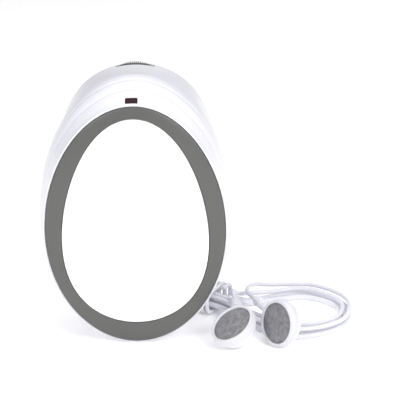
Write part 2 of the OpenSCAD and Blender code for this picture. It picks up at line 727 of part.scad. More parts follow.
right_bud_at = [50.8, -26, 9.2];
right_bud_turn = [217.6, 12.4, 178];
left_bud_at = [34.5, -26.6, 9.6];
left_bud_turn = [211.8, 55, 152];
stem_lean = 23.5;
stem_reach = bud_d / 2 + stem_l + 2.3;
function turn_z(v, a) = [v[0] * cos(a) - v[1] * sin(a), v[0] * sin(a) + v[1] * cos(a), v[2]];
function turn_y(v, a) = [v[0] * cos(a) + v[2] * sin(a), v[1], -v[0] * sin(a) + v[2] * cos(a)];
function placed(at, turn, v) = at + turn_z(turn_y(turn_z(v, turn[2]), 90 - turn[1]), turn[0]);
stem_base = [0, 5.5, -6.6];
stem_end = stem_reach * [0, cos(stem_lean), -sin(stem_lean)];
stem_way = unit(stem_end - stem_base);
right_stem = placed(right_bud_at, right_bud_turn, stem_end);
right_way = right_stem - placed(right_bud_at, right_bud_turn, stem_end - stem_way);
left_stem = placed(left_bud_at, left_bud_turn, stem_end);
left_way = left_stem - placed(left_bud_at, left_bud_turn, stem_end - stem_way);

plug_head_r = 3.2;
plug_gap = 0.1;
// Pin's shoulder, just clear of the body's side all round the plug's head
flank_out = max([for (a = [0:30:330]) flank_x(socket_y + plug_head_r * cos(a), socket_z + plug_head_r * sin(a))]);
pin_out = flank_out + plug_gap;
plug_x = pin_out + 2.8;            // where the cord leaves the plug
plug_y = device_depth / 2 - socket_z;
plug_z = foot + socket_y;
plug_drop = 9;
hank_start = hank_run[0];
hank_way = unit(hank_run[0] - hank_run[1]);
main_points = [
    [plug_x, plug_y, plug_z - plug_drop], [plug_x, plug_y, plug_z - plug_drop - 2], [30.6, 17.5, 13],
    [28.4, 21, 9.5], [26.6, 25.4, 7.6], [24.2, 29, 4.8], [21.6, 29.4, 2.4],
    hank_start + 4.5 * hank_way + [0, 0, 0.4], hank_start + 2 * hank_way, hank_start];
main_run = concat([main_points[0]], smooth_path([for (i = [1:len(main_points) - 1]) main_points[i]], 3));
left_points = [left_end, left_end + 1.5 * heading(left_run), [38.6, 12, 5], [36, 9.6, 7.2], [35.6, 6.2, 8.4],
    left_stem + 3 * left_way, left_stem];
left_tail = concat([left_end], smooth_path([for (i = [1:len(left_points) - 1]) left_points[i]], 3));
right_points = [right_end, right_end + 1.5 * heading(right_run), [50, 20.6, 5], [44.5, 17, 6.7], [41.7, 12.5, 7.2],
    [41.3, 8, 7.4], right_stem + 3.5 * right_way, right_stem];
right_tail = concat([right_end], smooth_path([for (i = [1:len(right_points) - 1]) right_points[i]], 3));

module cord(run, d, sides, first = [0, 0, 1]) {
    color(white) sweep(run, d / 2, sides, first);
}
module main_cord() { cord(main_run, cord_d, 8, [1, 0, 0]); }
module cord_hank() {
    echo("hank least gap", self_gap(hank_run, cord_d, 6));
    cord(hank_run, cord_d, 6);
}
module left_loop() {
    echo("left loop gap", least_gap(left_run, hank_run, (cord_d + branch_d) / 2));
    cord(left_run, branch_d, 6);
}
module right_loop() {
    echo("right loop gap", least_gap(right_run, hank_run, (cord_d + branch_d) / 2));
    echo("right to left loop gap", least_gap(right_run, left_run, branch_d));
    cord(right_run, branch_d, 6);
}
module cord_tie() {
    echo("tie least gap", self_gap(wrap_run, branch_d, 7));
    echo("tie to hank", least_gap(wrap_run, hank_run, (cord_d + branch_d) / 2));
    echo("tie to branches", min(least_gap(wrap_run, right_run, branch_d), least_gap(wrap_run, left_run, branch_d)));
    cord(wrap_run, branch_d, 6);
}
module left_cord() {
    echo("left tail to tie", least_gap(left_tail, wrap_run, branch_d));
    echo("left tail to hank", least_gap(left_tail, hank_run, (cord_d + branch_d) / 2));
    cord(left_tail, branch_d, 8);
}
module right_cord() {
    echo("right tail to tie", least_gap(right_tail, wrap_run, branch_d));
    echo("right tail to hank", least_gap(right_tail, hank_run, (cord_d + branch_d) / 2));
    echo("right tail to left branch", min(least_gap(right_tail, left_run, branch_d), least_gap(right_tail, left_tail, branch_d)));
    cord(right_tail, branch_d, 8);
}
// Moulded Y where the two branches leave the cord, lying in the hank's rear run
module cord_split() {
    a = hank_run[46];
    b = left_run[0];
    c = right_run[0];
    ahead = split_way;
    length = (b - a) * ahead;
    across = [-ahead[1], ahead[0], 0];
    half = cord_d / 2 - 0.05;
    to_left = across * (b - a);
    to_right = across * (c - a);
    low = min(0, to_left, to_right) - half;
    high = max(0, to_left, to_right) + half;
    color(white) translate([a[0], a[1], 0]) rotate([0, 0, atan2(ahead[1], ahead[0])]) union() {
        translate([0, -half, a[2] - half]) cube([length, 2 * half, b[2] - a[2] + 2 * half]);
        translate([0, low, b[2] - half]) cube([length, high - low, 2 * half]);
    }
}

// ---------- Right-angle plug ----------
pin_r = 1.75;
module at_plug() {
    translate([0, plug_y, plug_z]) rotate([0, 90, 0]) children();
}
pin_in = 15.6;                     // tip of the pin
module plug_contacts() {
    color(metal) at_plug() {
        translate([0, 0, pin_in]) cylinder(r1 = 0.9, r2 = pin_r, h = 1.6, $fn = 32);
        translate([0, 0, pin_in + 1.6]) cylinder(r = pin_r, h = 1.8, $fn = 32);
        translate([0, 0, pin_in + 4]) cylinder(r = pin_r, h = 2, $fn = 32);
        translate([0, 0, pin_in + 6.6]) cylinder(r = pin_r, h = pin_out - pin_in - 6.6, $fn = 32);
    }
}
module plug_insulators() {
    color(dark) at_plug() for (z = [3.4, 6])
        translate([0, 0, pin_in + z]) cylinder(r = pin_r, h = 0.6, $fn = 32);
}
module plug_body() {
    long = 5.6;
    color(white) translate([0, plug_y, plug_z]) union() {
        translate([pin_out, 0, 0]) rotate([0, 90, 0]) cylinder(r = plug_head_r, h = long, $fn = 40);
        translate([plug_x, 0, -5.5]) cylinder(r = 2.6, h = 5.5, $fn = 32);
        translate([plug_x, 0, -plug_drop]) cylinder(r = 1.7, h = plug_drop - 5, $fn = 32);
    }
}

// ---------- Earpieces ----------
dome_h = 8.6;
module place_bud(at, turn) {
    translate(at) rotate([0, 0, turn[0]]) rotate([0, 90 - turn[1], 0]) rotate([0, 0, turn[2]]) children();
}
module right_place() { place_bud(right_bud_at, right_bud_turn) children(); }
module left_place() { place_bud(left_bud_at, left_bud_turn) children(); }
module bud_rim() {
    r = bud_d / 2;
    g = grille_d / 2;
    color("#e2e1e6") rotate_extrude($fn = 60) polygon([
        [g - 0.9, -3.2], [r - 0.9, -3.2], [r, -2.6], [r, -1.5], [g + 0.9, 0.3], [g + 0.35, 0.3], [g + 0.05, -0.1],
        [g + 0.05, -0.8], [g - 0.9, -0.8]]);
}
module bud_grille() {
    g = grille_d / 2 - 0.1;
    color(grey) rotate_extrude($fn = 60) polygon([[0, -0.5], [g - 0.4, -0.8], [g, -0.8], [g, -0.3], [g - 0.4, -0.2], [0, 0.2]]);
}
module bud_driver() {
    g = grille_d / 2 - 1.2;
    color(metal) rotate_extrude($fn = 48) polygon([[0, -3.6], [3.4, -3.6], [3.4, -2.6], [g, -2.6], [g, -1], [0, -1]]);
}
module bud_shell() {
    r = bud_d / 2 - 0.9;
    outer = [for (i = [0:9]) [r * cos(10 * i), -3.2 - (dome_h - 3.2) * sin(10 * i)]];
    inner = [for (i = [9:-1:0]) [(r - 1.2) * cos(10 * i), -3.2 - (dome_h - 4.4) * sin(10 * i)]];
    color(white) union() {
        rotate_extrude($fn = 60) polygon(concat(outer, inner));
        translate(stem_base) rotate([-acos(stem_way[2]), 0, 0]) stem(norm(stem_end - stem_base));
    }
}
module stem(long) {
    ribs = 5;
    step = 1.5;
    cylinder(r1 = 2.5, r2 = 2.2, h = long - ribs * step, $fn = 32);
    translate([0, 0, long - ribs * step]) cylinder(r = 1.7, h = ribs * step, $fn = 32);
    for (i = [1:ribs - 1]) translate([0, 0, long - i * step - 0.2]) cylinder(r = 2.1, h = 0.7, $fn = 32);
}
module left_bud_rim() { left_place() bud_rim(); }
module left_bud_grille() { left_place() bud_grille(); }
module left_bud_shell() { left_place() bud_shell(); }
module left_bud_driver() { left_place() bud_driver(); }
module right_bud_rim() { right_place() bud_rim(); }
module right_bud_grille() { right_place() bud_grille(); }
module right_bud_shell() { right_place() bud_shell(); }
module right_bud_driver() { right_place() bud_driver(); }

front_cover();
front_ring();
front_shell();
trim_band();
rear_shell();
battery_hatch();
hatch_pad();
window_lens();
indicator_led();
led_leads();
probe_housing();
probe_face();
transmit_crystal();
receive_crystal();
crystal_divider();
probe_backing();
probe_shield();
probe_lead();
volume_wheel();
wheel_shaft();
wheel_screw();
volume_control();
volume_board();
main_board();
processor_chip();
amplifier_chip();
voltage_regulator();
board_capacitors();
oscillator_can();
socket_board();
right_socket();
left_socket();
socket_lead();
battery_tray();
tray_screws();
battery();
battery_terminals();
battery_snap();
battery_leads();
case_screws();
board_screws();
plug_contacts();
plug_insulators();
plug_body();
main_cord();
cord_hank();
cord_split();
left_loop();
cord_tie();
left_cord();
right_loop();
right_cord();
left_bud_rim();
left_bud_grille();
left_bud_shell();
left_bud_driver();
right_bud_rim();
right_bud_grille();
right_bud_shell();
right_bud_driver();
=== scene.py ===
"""Looks of an egg-shaped home fetal doppler monitor with tied earphones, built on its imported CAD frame.

All sizes are in millimetres until a mesh is made, and every piece is in the CAD's own frame.
"""

from __future__ import annotations

import json
import logging
import math
from dataclasses import dataclass
from enum import Enum
from typing import Protocol, Sequence

import bpy
import numpy as np
from mathutils import Matrix, Vector

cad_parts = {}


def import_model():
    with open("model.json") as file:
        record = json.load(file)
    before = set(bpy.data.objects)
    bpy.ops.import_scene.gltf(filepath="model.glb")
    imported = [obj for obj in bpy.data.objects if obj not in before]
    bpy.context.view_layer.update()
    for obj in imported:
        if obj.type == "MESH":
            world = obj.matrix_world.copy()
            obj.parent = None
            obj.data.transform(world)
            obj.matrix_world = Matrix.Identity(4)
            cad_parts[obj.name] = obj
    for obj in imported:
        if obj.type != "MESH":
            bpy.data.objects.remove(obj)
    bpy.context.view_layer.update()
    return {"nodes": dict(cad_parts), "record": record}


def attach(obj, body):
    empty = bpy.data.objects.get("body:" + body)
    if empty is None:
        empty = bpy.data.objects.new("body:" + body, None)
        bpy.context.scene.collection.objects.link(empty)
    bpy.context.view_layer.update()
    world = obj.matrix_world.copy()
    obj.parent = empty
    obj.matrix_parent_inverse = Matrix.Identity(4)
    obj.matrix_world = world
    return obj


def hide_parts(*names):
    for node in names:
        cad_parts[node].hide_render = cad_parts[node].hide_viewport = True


LOG = logging.getLogger("doppler")
MM = 0.001
Array = np.ndarray


# ---------- Numbers and arrays ----------
def mix(a: Array | float, b: Array | float, f: Array | float) -> Array | float:
    """Goes from a to b as f goes from 0 to 1."""
    return a + (b - a) * f


def smooth(f: Array | float) -> Array:
    """Eases from 0 to 1: three times the square less twice the cube, held level outside."""
    c = np.clip(f, 0.0, 1.0)
    return c * c * (3 - 2 * c)


def unit(v: Array) -> Array:
    """The vector, or each vector of an array, at length one."""
    return v / np.linalg.norm(v, axis=-1, keepdims=True)


def rounded(points: Sequence[Sequence[float]] | Array, steps: int) -> Array:
    """Runs a rounded line through given points.

    Args:
        points: the points, in order.
        steps: how many short steps are taken from each point to the next.

    Returns:
        The points of a Catmull-Rom line: each step weighs its four nearest points by cubics.
    """
    p = np.asarray(points, float)
    q = np.vstack([p[:1], p, p[-1:]])
    f = (np.arange(steps) / steps)[None, :, None]
    a, b, c, d = (q[i : len(q) - 3 + i, None, :] for i in range(4))
    run = 0.5 * (2 * b + (c - a) * f + (2 * a - 5 * b + 4 * c - d) * f**2 + (3 * b - a - 3 * c + d) * f**3)
    return np.vstack([run.reshape(-1, p.shape[1]), p[-1:]])


# ---------- Meshes ----------
def new_object(
    name: str, points: Array, faces: list[list[int]], crease: float = 32.0
) -> bpy.types.Object:
    """Makes one mesh object from points in millimetres.

    Args:
        name: the piece's name.
        points: its points, one row each.
        faces: its faces, as rows of point numbers.
        crease: the angle in degrees from which an edge is drawn sharp.

    Returns:
        The object, at the origin, shaded smooth between its sharp edges.
    """
    mesh = bpy.data.meshes.new(name)
    mesh.from_pydata((np.asarray(points) * MM).tolist(), [], faces)
    mesh.validate()
    obj = bpy.data.objects.new(name, mesh)
    bpy.context.scene.collection.objects.link(obj)
    shade(obj, crease)
    return obj


def shade(obj: bpy.types.Object, crease: float) -> None:
    """Shades smooth, with edges sharper than crease degrees left sharp."""
    mesh = obj.data
    mesh.polygons.foreach_set("use_smooth", np.ones(len(mesh.polygons), bool))
    mesh.set_sharp_from_angle(angle=math.radians(crease))
    mesh.update()


def skin_faces(m: int, n: int, joined: bool) -> list[list[int]]:
    """Faces of a skin over m rings of n points, anticlockwise seen from outside.

    Returns:
        One quad for each pair of neighbours on neighbouring rings, and, unless the last ring joins
        the first, a fan of triangles from an added middle point over each end.
    """
    i, j = np.meshgrid(np.arange(m if joined else m - 1), np.arange(n), indexing="ij")
    nxt, side = (i + 1) % m, (j + 1) % n
    quads = np.stack([i * n + j, i * n + side, nxt * n + side, nxt * n + j], -1).reshape(-1, 4)
    if joined:
        return quads.tolist()
    k = np.arange(n)
    low = np.stack([np.full(n, m * n), (k + 1) % n, k], -1)
    high = np.stack([np.full(n, m * n + 1), (m - 1) * n + k, (m - 1) * n + (k + 1) % n], -1)
    return quads.tolist() + low.tolist() + high.tolist()


def skin(name: str, rings: Array, joined: bool = False, crease: float = 32.0) -> bpy.types.Object:
    """A closed skin through rings of points; see skin_faces."""
    m, n = rings.shape[:2]
    points = rings.reshape(-1, 3)
    if not joined:
        points = np.vstack([points, rings[0].mean(0), rings[-1].mean(0)])
    return new_object(name, points, skin_faces(m, n, joined), crease)


def turned(profile: Sequence[Sequence[float]], place: Matrix, sides: int = 96) -> Array:
    """Rings of a turned shape.

    Args:
        profile: (radius, height) pairs; the outside is on the right as it runs upwards.
        place: where the shape's own origin and axes go, in millimetres.
        sides: points round each ring.

    Returns:
        One ring per pair: each point lies at radius times the cosine and sine of its angle.
    """
    p = np.asarray(profile, float)
    a = 2 * np.pi * np.arange(sides) / sides
    ring = np.stack([np.cos(a), np.sin(a)], -1)
    local = np.concatenate(
        [p[:, None, :1] * ring[None], np.broadcast_to(p[:, None, 1:], (len(p), sides, 1))], -1
    )
    return moved(local, place)


def moved(points: Array, place: Matrix) -> Array:
    """Points turned and shifted by a placement."""
    m = np.array(place)
    return points @ m[:3, :3].T + m[:3, 3]


class Cut(Enum):
    """What a second solid does to the first."""

    LESS = "DIFFERENCE"
    PLUS = "UNION"
    SHARED = "INTERSECT"


def carve(
    obj: bpy.types.Object, tools: Sequence[bpy.types.Object], how: Cut, crease: float = 32.0
) -> bpy.types.Object:
    """Cuts, joins or intersects a solid with others, which are then removed.

    Args:
        obj: the solid.
        tools: the other solids.
        how: what they do to it.
        crease: the angle in degrees from which an edge is drawn sharp.

    Returns:
        The same object with its finished mesh.
    """
    for tool in tools:
        mod = obj.modifiers.new("carve", "BOOLEAN")
        mod.operation = how.value
        mod.solver = "EXACT"
        mod.object = tool
    graph = bpy.context.evaluated_depsgraph_get()
    mesh = bpy.data.meshes.new_from_object(obj.evaluated_get(graph))
    obj.modifiers.clear()
    obj.data = mesh
    for tool in tools:
        bpy.data.objects.remove(tool)
    shade(obj, crease)
    return obj


def block(low: Sequence[float], high: Sequence[float], place: Matrix) -> bpy.types.Object:
    """A plain box between two corners, as a tool for carve."""
    l, h = np.asarray(low, float), np.asarray(high, float)
    square = np.array([[0, 0], [1, 0], [1, 1], [0, 1]], float)
    flat = l[:2] + square * (h - l)[:2]
    rings = np.stack([np.column_stack([flat, np.full(4, z)]) for z in (l[2], h[2])])
    return skin("tool", moved(rings, place))


def rod(radius: float, low: float, high: float, place: Matrix, sides: int = 64) -> bpy.types.Object:
    """A plain cylinder, as a tool for carve."""
    return skin("tool", turned([(radius, low), (radius, high)], place, sides))


# ---------- The body's shape ----------
@dataclass(frozen=True)
class Body:
    """Sizes that the device's shells share, as in the CAD; local z is the depth from the probe face."""

    ring_w: float = 32.5
    ring_h: float = 44.9
    cover_w: float = 26.1
    cover_h: float = 38.85
    wide_w: float = 35.5
    wide_h: float = 48.8
    crown: float = 1.4
    wall: float = 2.0
    floor_z: float = 3.0
    rim: float = 3.5
    depth: float = 39.5
    wide_at: float = 20.0
    parting: float = 14.8
    crease: float = 8.5
    seam: float = 0.2
    flare: float = 0.616
    points: int = 288

    @property
    def rear_z(self) -> float:
        """Height of the rear rim's widest section."""
        return self.floor_z + self.rim

    @property
    def ring_z(self) -> float:
        """Height of the front ring's outer edge."""
        return self.rear_z + self.depth

    @property
    def cover_z(self) -> float:
        """Height of the front cover's edge."""
        return self.ring_z + 1.2

    @property
    def total(self) -> float:
        """Whole depth of the device."""
        return self.cover_z + self.crown

    @property
    def foot(self) -> float:
        """Height of the body's middle over the table."""
        return self.wide_h - 0.4

    @property
    def ring_egg(self) -> Array:
        """Half width, half height, point, square and centre of the ring's outer edge."""
        return np.array([self.ring_w, self.ring_h, 0.039, -0.02, -2.66])

    @property
    def cover_egg(self) -> Array:
        """The same for the front cover."""
        return np.array([self.cover_w, self.cover_h, 0.173, 0.077, -0.66])

    @property
    def wide_egg(self) -> Array:
        """The same for the body's widest section."""
        return np.array([self.wide_w, self.wide_h, 0.03, -0.01, 0.0])

    @property
    def rear_egg(self) -> Array:
        """The same for the rear rim."""
        return np.array([self.wide_w - 5.1, self.wide_h - 4.0, 0.0, 0.22, 2.7])

    @property
    def stand(self) -> Matrix:
        """Stands the device on its wide end with its front cover towards -Y."""
        return Matrix(((1, 0, 0, 0), (0, 0, -1, self.total / 2), (0, 1, 0, self.foot), (0, 0, 0, 1)))

    def loop(self, egg: Array, grow: float, z: float) -> Array:
        """One outline of the body.

        Args:
            egg: half width a, half height b, point k, square m and centre c.
            grow: how far the outline is moved outwards along its normal.
            z: its height.

        Returns:
            Points at x = a sin t (1 - k cos t + m cos2 t), y = c + b cos t, anticlockwise.
        """
        t = -2 * np.pi * np.arange(self.points) / self.points
        a, b, k, m, c = egg
        co, si = np.cos(t), np.sin(t)
        bulge = 1 - k * co + m * co * co
        sx = a * (co * bulge + si * (k * si - 2 * m * co * si))
        sy = -b * si
        size = np.hypot(sx, sy)
        x = a * si * bulge - grow * sy / size
        y = c + b * co + grow * sx / size
        return np.column_stack([x, y, np.full_like(t, z)])

    def egg(self, d: float) -> Array:
        """Outline numbers at depth d under the ring: a sine out to the widest, then an eased flare in."""
        if d < self.wide_at:
            return mix(self.ring_egg, self.wide_egg, math.sin(math.pi / 2 * max(0.0, d) / self.wide_at))
        w = min(1.0, (d - self.wide_at) / (self.depth - self.wide_at)) ** self.flare
        return mix(self.wide_egg, self.rear_egg, w * w * (3 - 2 * w))

    def section(self, d: float, grow: float) -> Array:
        """The body's outline at depth d under the ring."""
        return self.loop(self.egg(d), grow, self.ring_z - d)

    def standing(self, rings: Sequence[Array]) -> Array:
        """Rings of local outlines, stood up and cut flat at the table."""
        world = moved(np.stack(rings), self.stand)
        world[..., 2] = np.maximum(world[..., 2], 0.0)
        return world


def fillet(
    a: Sequence[float], b: Sequence[float], c: Sequence[float], steps: int = 4
) -> list[tuple[float, float]]:
    """Points of a rounded corner from a to c that bends towards b (a quadratic Bezier)."""
    f = np.linspace(0, 1, steps + 1)[:, None]
    start, bend, end = (np.asarray(v, float) for v in (a, b, c))
    p = (1 - f) ** 2 * start + 2 * f * (1 - f) * bend + f * f * end
    return [tuple(row) for row in p]


class Piece(Protocol):
    """A sub-assembly that builds its pieces and says which it made."""

    def build(self) -> list[bpy.types.Object]:
        """Builds the pieces, rides them on their bodies and dresses them."""


# ---------- Materials ----------
def linear(code: str, alpha: float = 1.0) -> tuple[float, float, float, float]:
    """Turns an sRGB hex colour into a linear one."""
    s = np.array([int(code[i : i + 2], 16) / 255 for i in (1, 3, 5)])
    v = np.where(s <= 0.04045, s / 12.92, ((s + 0.055) / 1.055) ** 2.4)
    return (float(v[0]), float(v[1]), float(v[2]), alpha)


def node(
    mat: bpy.types.Material,
    kind: str,
    settings: dict[str, object] | None = None,
    links: dict[str, bpy.types.NodeSocket] | None = None,
) -> bpy.types.ShaderNode:
    """Adds one shader node.

    Args:
        mat: the material it goes in.
        kind: its type, without the ShaderNode in front.
        settings: values by socket name, or by property name if there is no such socket.
        links: sockets to join to its inputs, by input name.

    Returns:
        The node.
    """
    made = mat.node_tree.nodes.new("ShaderNode" + kind)
    for name, value in (settings or {}).items():
        if name in made.inputs:
            made.inputs[name].default_value = value
        else:
            setattr(made, name, value)
    for name, source in (links or {}).items():
        mat.node_tree.links.new(source, made.inputs[name])
    return made


@dataclass(frozen=True)
class Finish:
    """A finish whose shade, roughness and relief vary a little over the surface.

    Attributes:
        name: the real material.
        colour: its sRGB colour.
        deep: the colour of its slightly darker spots.
        rough: its mean roughness.
        metal: whether it is bare metal.
        grain: the size of its relief, in millimetres.
        relief: the strength of its relief.
        coat: the strength of a clear layer over it.
        glow: how much light passes under its surface.
        light: the strength of light that it gives off.
        shine: the strength of its reflection, 0.5 for plain plastic.
        patch: the size of its darker and lighter clouds, in millimetres.
    """

    name: str
    colour: str
    deep: str
    rough: float
    metal: bool = False
    grain: float = 0.5
    relief: float = 0.05
    coat: float = 0.0
    glow: float = 0.0
    light: float = 0.0
    shine: float = 0.5
    patch: float = 25.0

    def make(self) -> bpy.types.Material:
        """Builds the material once and returns it afterwards."""
        found = bpy.data.materials.get(self.name)
        if found:
            return found
        mat = bpy.data.materials.new(self.name)
        mat.use_nodes = True
        mat.node_tree.nodes.clear()
        where = node(mat, "TexCoord").outputs["Object"]
        cloud = node(mat, "TexNoise", {"Scale": 1 / (self.patch * MM), "Detail": 3.0}, {"Vector": where})
        base = self.tone(mat, cloud)
        fine = {"Scale": 1 / (self.grain * MM), "Detail": 2.0}
        grain = node(mat, "TexNoise", fine, {"Vector": where})
        spread = {"To Min": self.rough * 0.9, "To Max": self.rough * 1.1}
        rough = node(mat, "MapRange", spread, {"Value": cloud.outputs["Fac"]})
        depth = {"Strength": self.relief, "Distance": 0.05 * MM}
        bump = node(mat, "Bump", depth, {"Height": self.height(mat, grain)})
        links = {
            "Base Color": base,
            "Roughness": rough.outputs["Result"],
            "Normal": bump.outputs["Normal"],
        }
        values: dict[str, object] = {
            "Metallic": 1.0 if self.metal else 0.0,
            "Specular IOR Level": self.shine,
        }
        if self.coat:
            values |= {"Coat Weight": self.coat, "Coat Roughness": 0.06}
        if self.glow:
            radius = (2 * MM, 2 * MM, 2 * MM)
            values |= {"Subsurface Weight": self.glow, "Subsurface Radius": radius, "Subsurface Scale": 1.0}
        if self.light:
            values |= {"Emission Color": (1.0, 1.0, 1.0, 1.0), "Emission Strength": self.light}
        shader = node(mat, "BsdfPrincipled", values, links)
        node(mat, "OutputMaterial", None, {"Surface": shader.outputs["BSDF"]})
        return mat

    def tone(self, mat: bpy.types.Material, cloud: bpy.types.ShaderNode) -> bpy.types.NodeSocket:
        """The surface colour: the deep and plain colours in soft clouds."""
        blend = node(mat, "Mix", {"data_type": "RGBA"}, {"Factor": cloud.outputs["Fac"]})
        blend.inputs[6].default_value = linear(self.deep)
        blend.inputs[7].default_value = linear(self.colour)
        return blend.outputs[2]

    def height(self, mat: bpy.types.Material, grain: bpy.types.ShaderNode) -> bpy.types.NodeSocket:
        """The height that the relief follows: fine even grain."""
        return grain.outputs["Fac"]


@dataclass(frozen=True)
class Woven(Finish):
    """A finish woven on the piece's own flat map, in threads of a real pitch."""

    pitch: float = 0.55

    def _threads(self, mat: bpy.types.Material) -> bpy.types.NodeSocket:
        """Two crossed sets of waves, of which the higher shows."""
        flat = node(mat, "UVMap", {"uv_map": "flat"}).outputs["UV"]
        waves = []
        for way in ("X", "Y"):
            bands = {"bands_direction": way, "Scale": 0.314 / self.pitch, "Distortion": 0.4}
            wave = node(mat, "TexWave", bands, {"Vector": flat})
            waves.append(wave.outputs["Fac"])
        high = node(mat, "Math", {"operation": "MAXIMUM"})
        mat.node_tree.links.new(waves[0], high.inputs[0])
        mat.node_tree.links.new(waves[1], high.inputs[1])
        return high.outputs[0]

    def tone(self, mat: bpy.types.Material, cloud: bpy.types.ShaderNode) -> bpy.types.NodeSocket:
        """Darker between the threads, and uneven in larger clouds."""
        plain = super().tone(mat, cloud)
        blend = node(mat, "Mix", {"data_type": "RGBA"}, {"Factor": self._threads(mat)})
        blend.inputs[6].default_value = linear(self.deep)
        mat.node_tree.links.new(plain, blend.inputs[7])
        return blend.outputs[2]

    def height(self, mat: bpy.types.Material, grain: bpy.types.ShaderNode) -> bpy.types.NodeSocket:
        """The threads stand up."""
        return self._threads(mat)


# Injection-moulded ABS housing, fine satin texture
SHELL = Finish("satin white ABS", "#eaeaf1", "#e5e4ed", 0.3, relief=0.03, coat=0.15)
# Polished acrylic front cover
COVER = Finish("polished white acrylic", "#fdfdfd", "#f8f9fb", 0.16, relief=0.0, coat=0.5)
# Dark moulded ring round the cover
RING = Finish("grey moulded ABS", "#5e5e5d", "#5a5a59", 0.36, relief=0.05)
# Smoked acrylic over the indicator
LENS = Finish("smoked red acrylic", "#34161c", "#200c12", 0.35, relief=0.0, shine=0.12)
LED = Finish("red epoxy lamp", "#a02030", "#801824", 0.15, relief=0.0)
# Soft acoustic window of the probe
PROBE = Finish("grey acoustic silicone", "#a3a4a8", "#9a9b9f", 0.5, relief=0.1)
WHEEL = Finish("ribbed dark grey ABS", "#757577", "#69696b", 0.5, relief=0.12)
STEEL = Finish("plated steel", "#c8cacf", "#b2b4b9", 0.28, metal=True, relief=0.05)
BOARD = Finish("green solder mask on glass epoxy", "#2c6a40", "#235634", 0.35, relief=0.08)
EPOXY = Finish("black moulding epoxy", "#26272a", "#1d1e21", 0.55, relief=0.12)
CERAMIC = Finish("piezo ceramic", "#c8b277", "#b89f62", 0.6, relief=0.1)
CORK = Finish("cork strip", "#b48f60", "#8d6b42", 0.85, grain=0.8, relief=0.4)
COPPER = Finish("copper foil", "#c98a5e", "#b0744b", 0.3, metal=True, relief=0.1)
FOAM = Finish("dark polyurethane foam", "#46474b", "#37383b", 0.9, grain=0.3, relief=0.5)
WRAP = Finish("lacquered steel battery case", "#3b4048", "#31353c", 0.3, relief=0.04, coat=0.4)
TRAY = Finish("white ABS tray", "#dcdde1", "#d2d3d8", 0.5, relief=0.06)
SOCKET = Finish("black nylon", "#1f2023", "#18191b", 0.5, relief=0.08)
LEAD = Finish("red lead sheath", "#8d3035", "#7c282d", 0.4, relief=0.03)
# Earphone sheath: soft white vinyl
VINYL = Finish("white vinyl sheath", "#e8e8ef", "#dddce6", 0.42, relief=0.03, glow=0.05)
BUD = Finish("gloss white ABS", "#ececf0", "#e6e6eb", 0.2, relief=0.0, coat=0.4)
RIM = Finish("satin pale ABS", "#dddce2", "#d5d4db", 0.36, relief=0.04)
CLOTH = Woven("grey acoustic mesh", "#b4b4b7", "#57575b", 0.75, relief=0.6, patch=1.6)
DRIVER = Finish("spun aluminium", "#bcbec3", "#a9abb0", 0.35, metal=True, relief=0.05)

# White seamless paper
FLOOR = Finish("white studio paper", "#ffffff", "#fdfdfd", 0.9, grain=1.5, relief=0.02, light=0.16)

BY_SLOT: dict[str, Finish] = {
    "white_shell": SHELL, "white_cover": COVER, "grey_ring": RING, "dark_lens": LENS, "red_led": LED,
    "probe_grey": PROBE, "ceramic": CERAMIC, "cork": CORK, "epoxy": EPOXY, "copper_foil": COPPER,
    "wheel_grey": WHEEL, "steel": STEEL, "board_green": BOARD, "socket_black": SOCKET, "lead_wire": LEAD,
    "tray_white": TRAY, "battery_wrap": WRAP, "foam": FOAM, "cord_white": VINYL, "bud_white": BUD,
    "bud_rim": RIM, "bud_grille": CLOTH, "driver": DRIVER,
}


def dress(obj: bpy.types.Object, slot: str) -> None:
    """Gives a piece the finish of its material slot."""
    obj.data.materials.clear()
    obj.data.materials.append(BY_SLOT[slot].make())


def settle(obj: bpy.types.Object, slot: str, body: str, *nodes: str) -> bpy.types.Object:
    """Finishes one piece: its material, the body it rides on, and the CAD nodes it stands for."""
    dress(obj, slot)
    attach(obj, body)
    if nodes:
        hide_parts(*nodes)
    LOG.info("%s stands for %s", obj.name, ", ".join(nodes) or "nothing")
    return obj


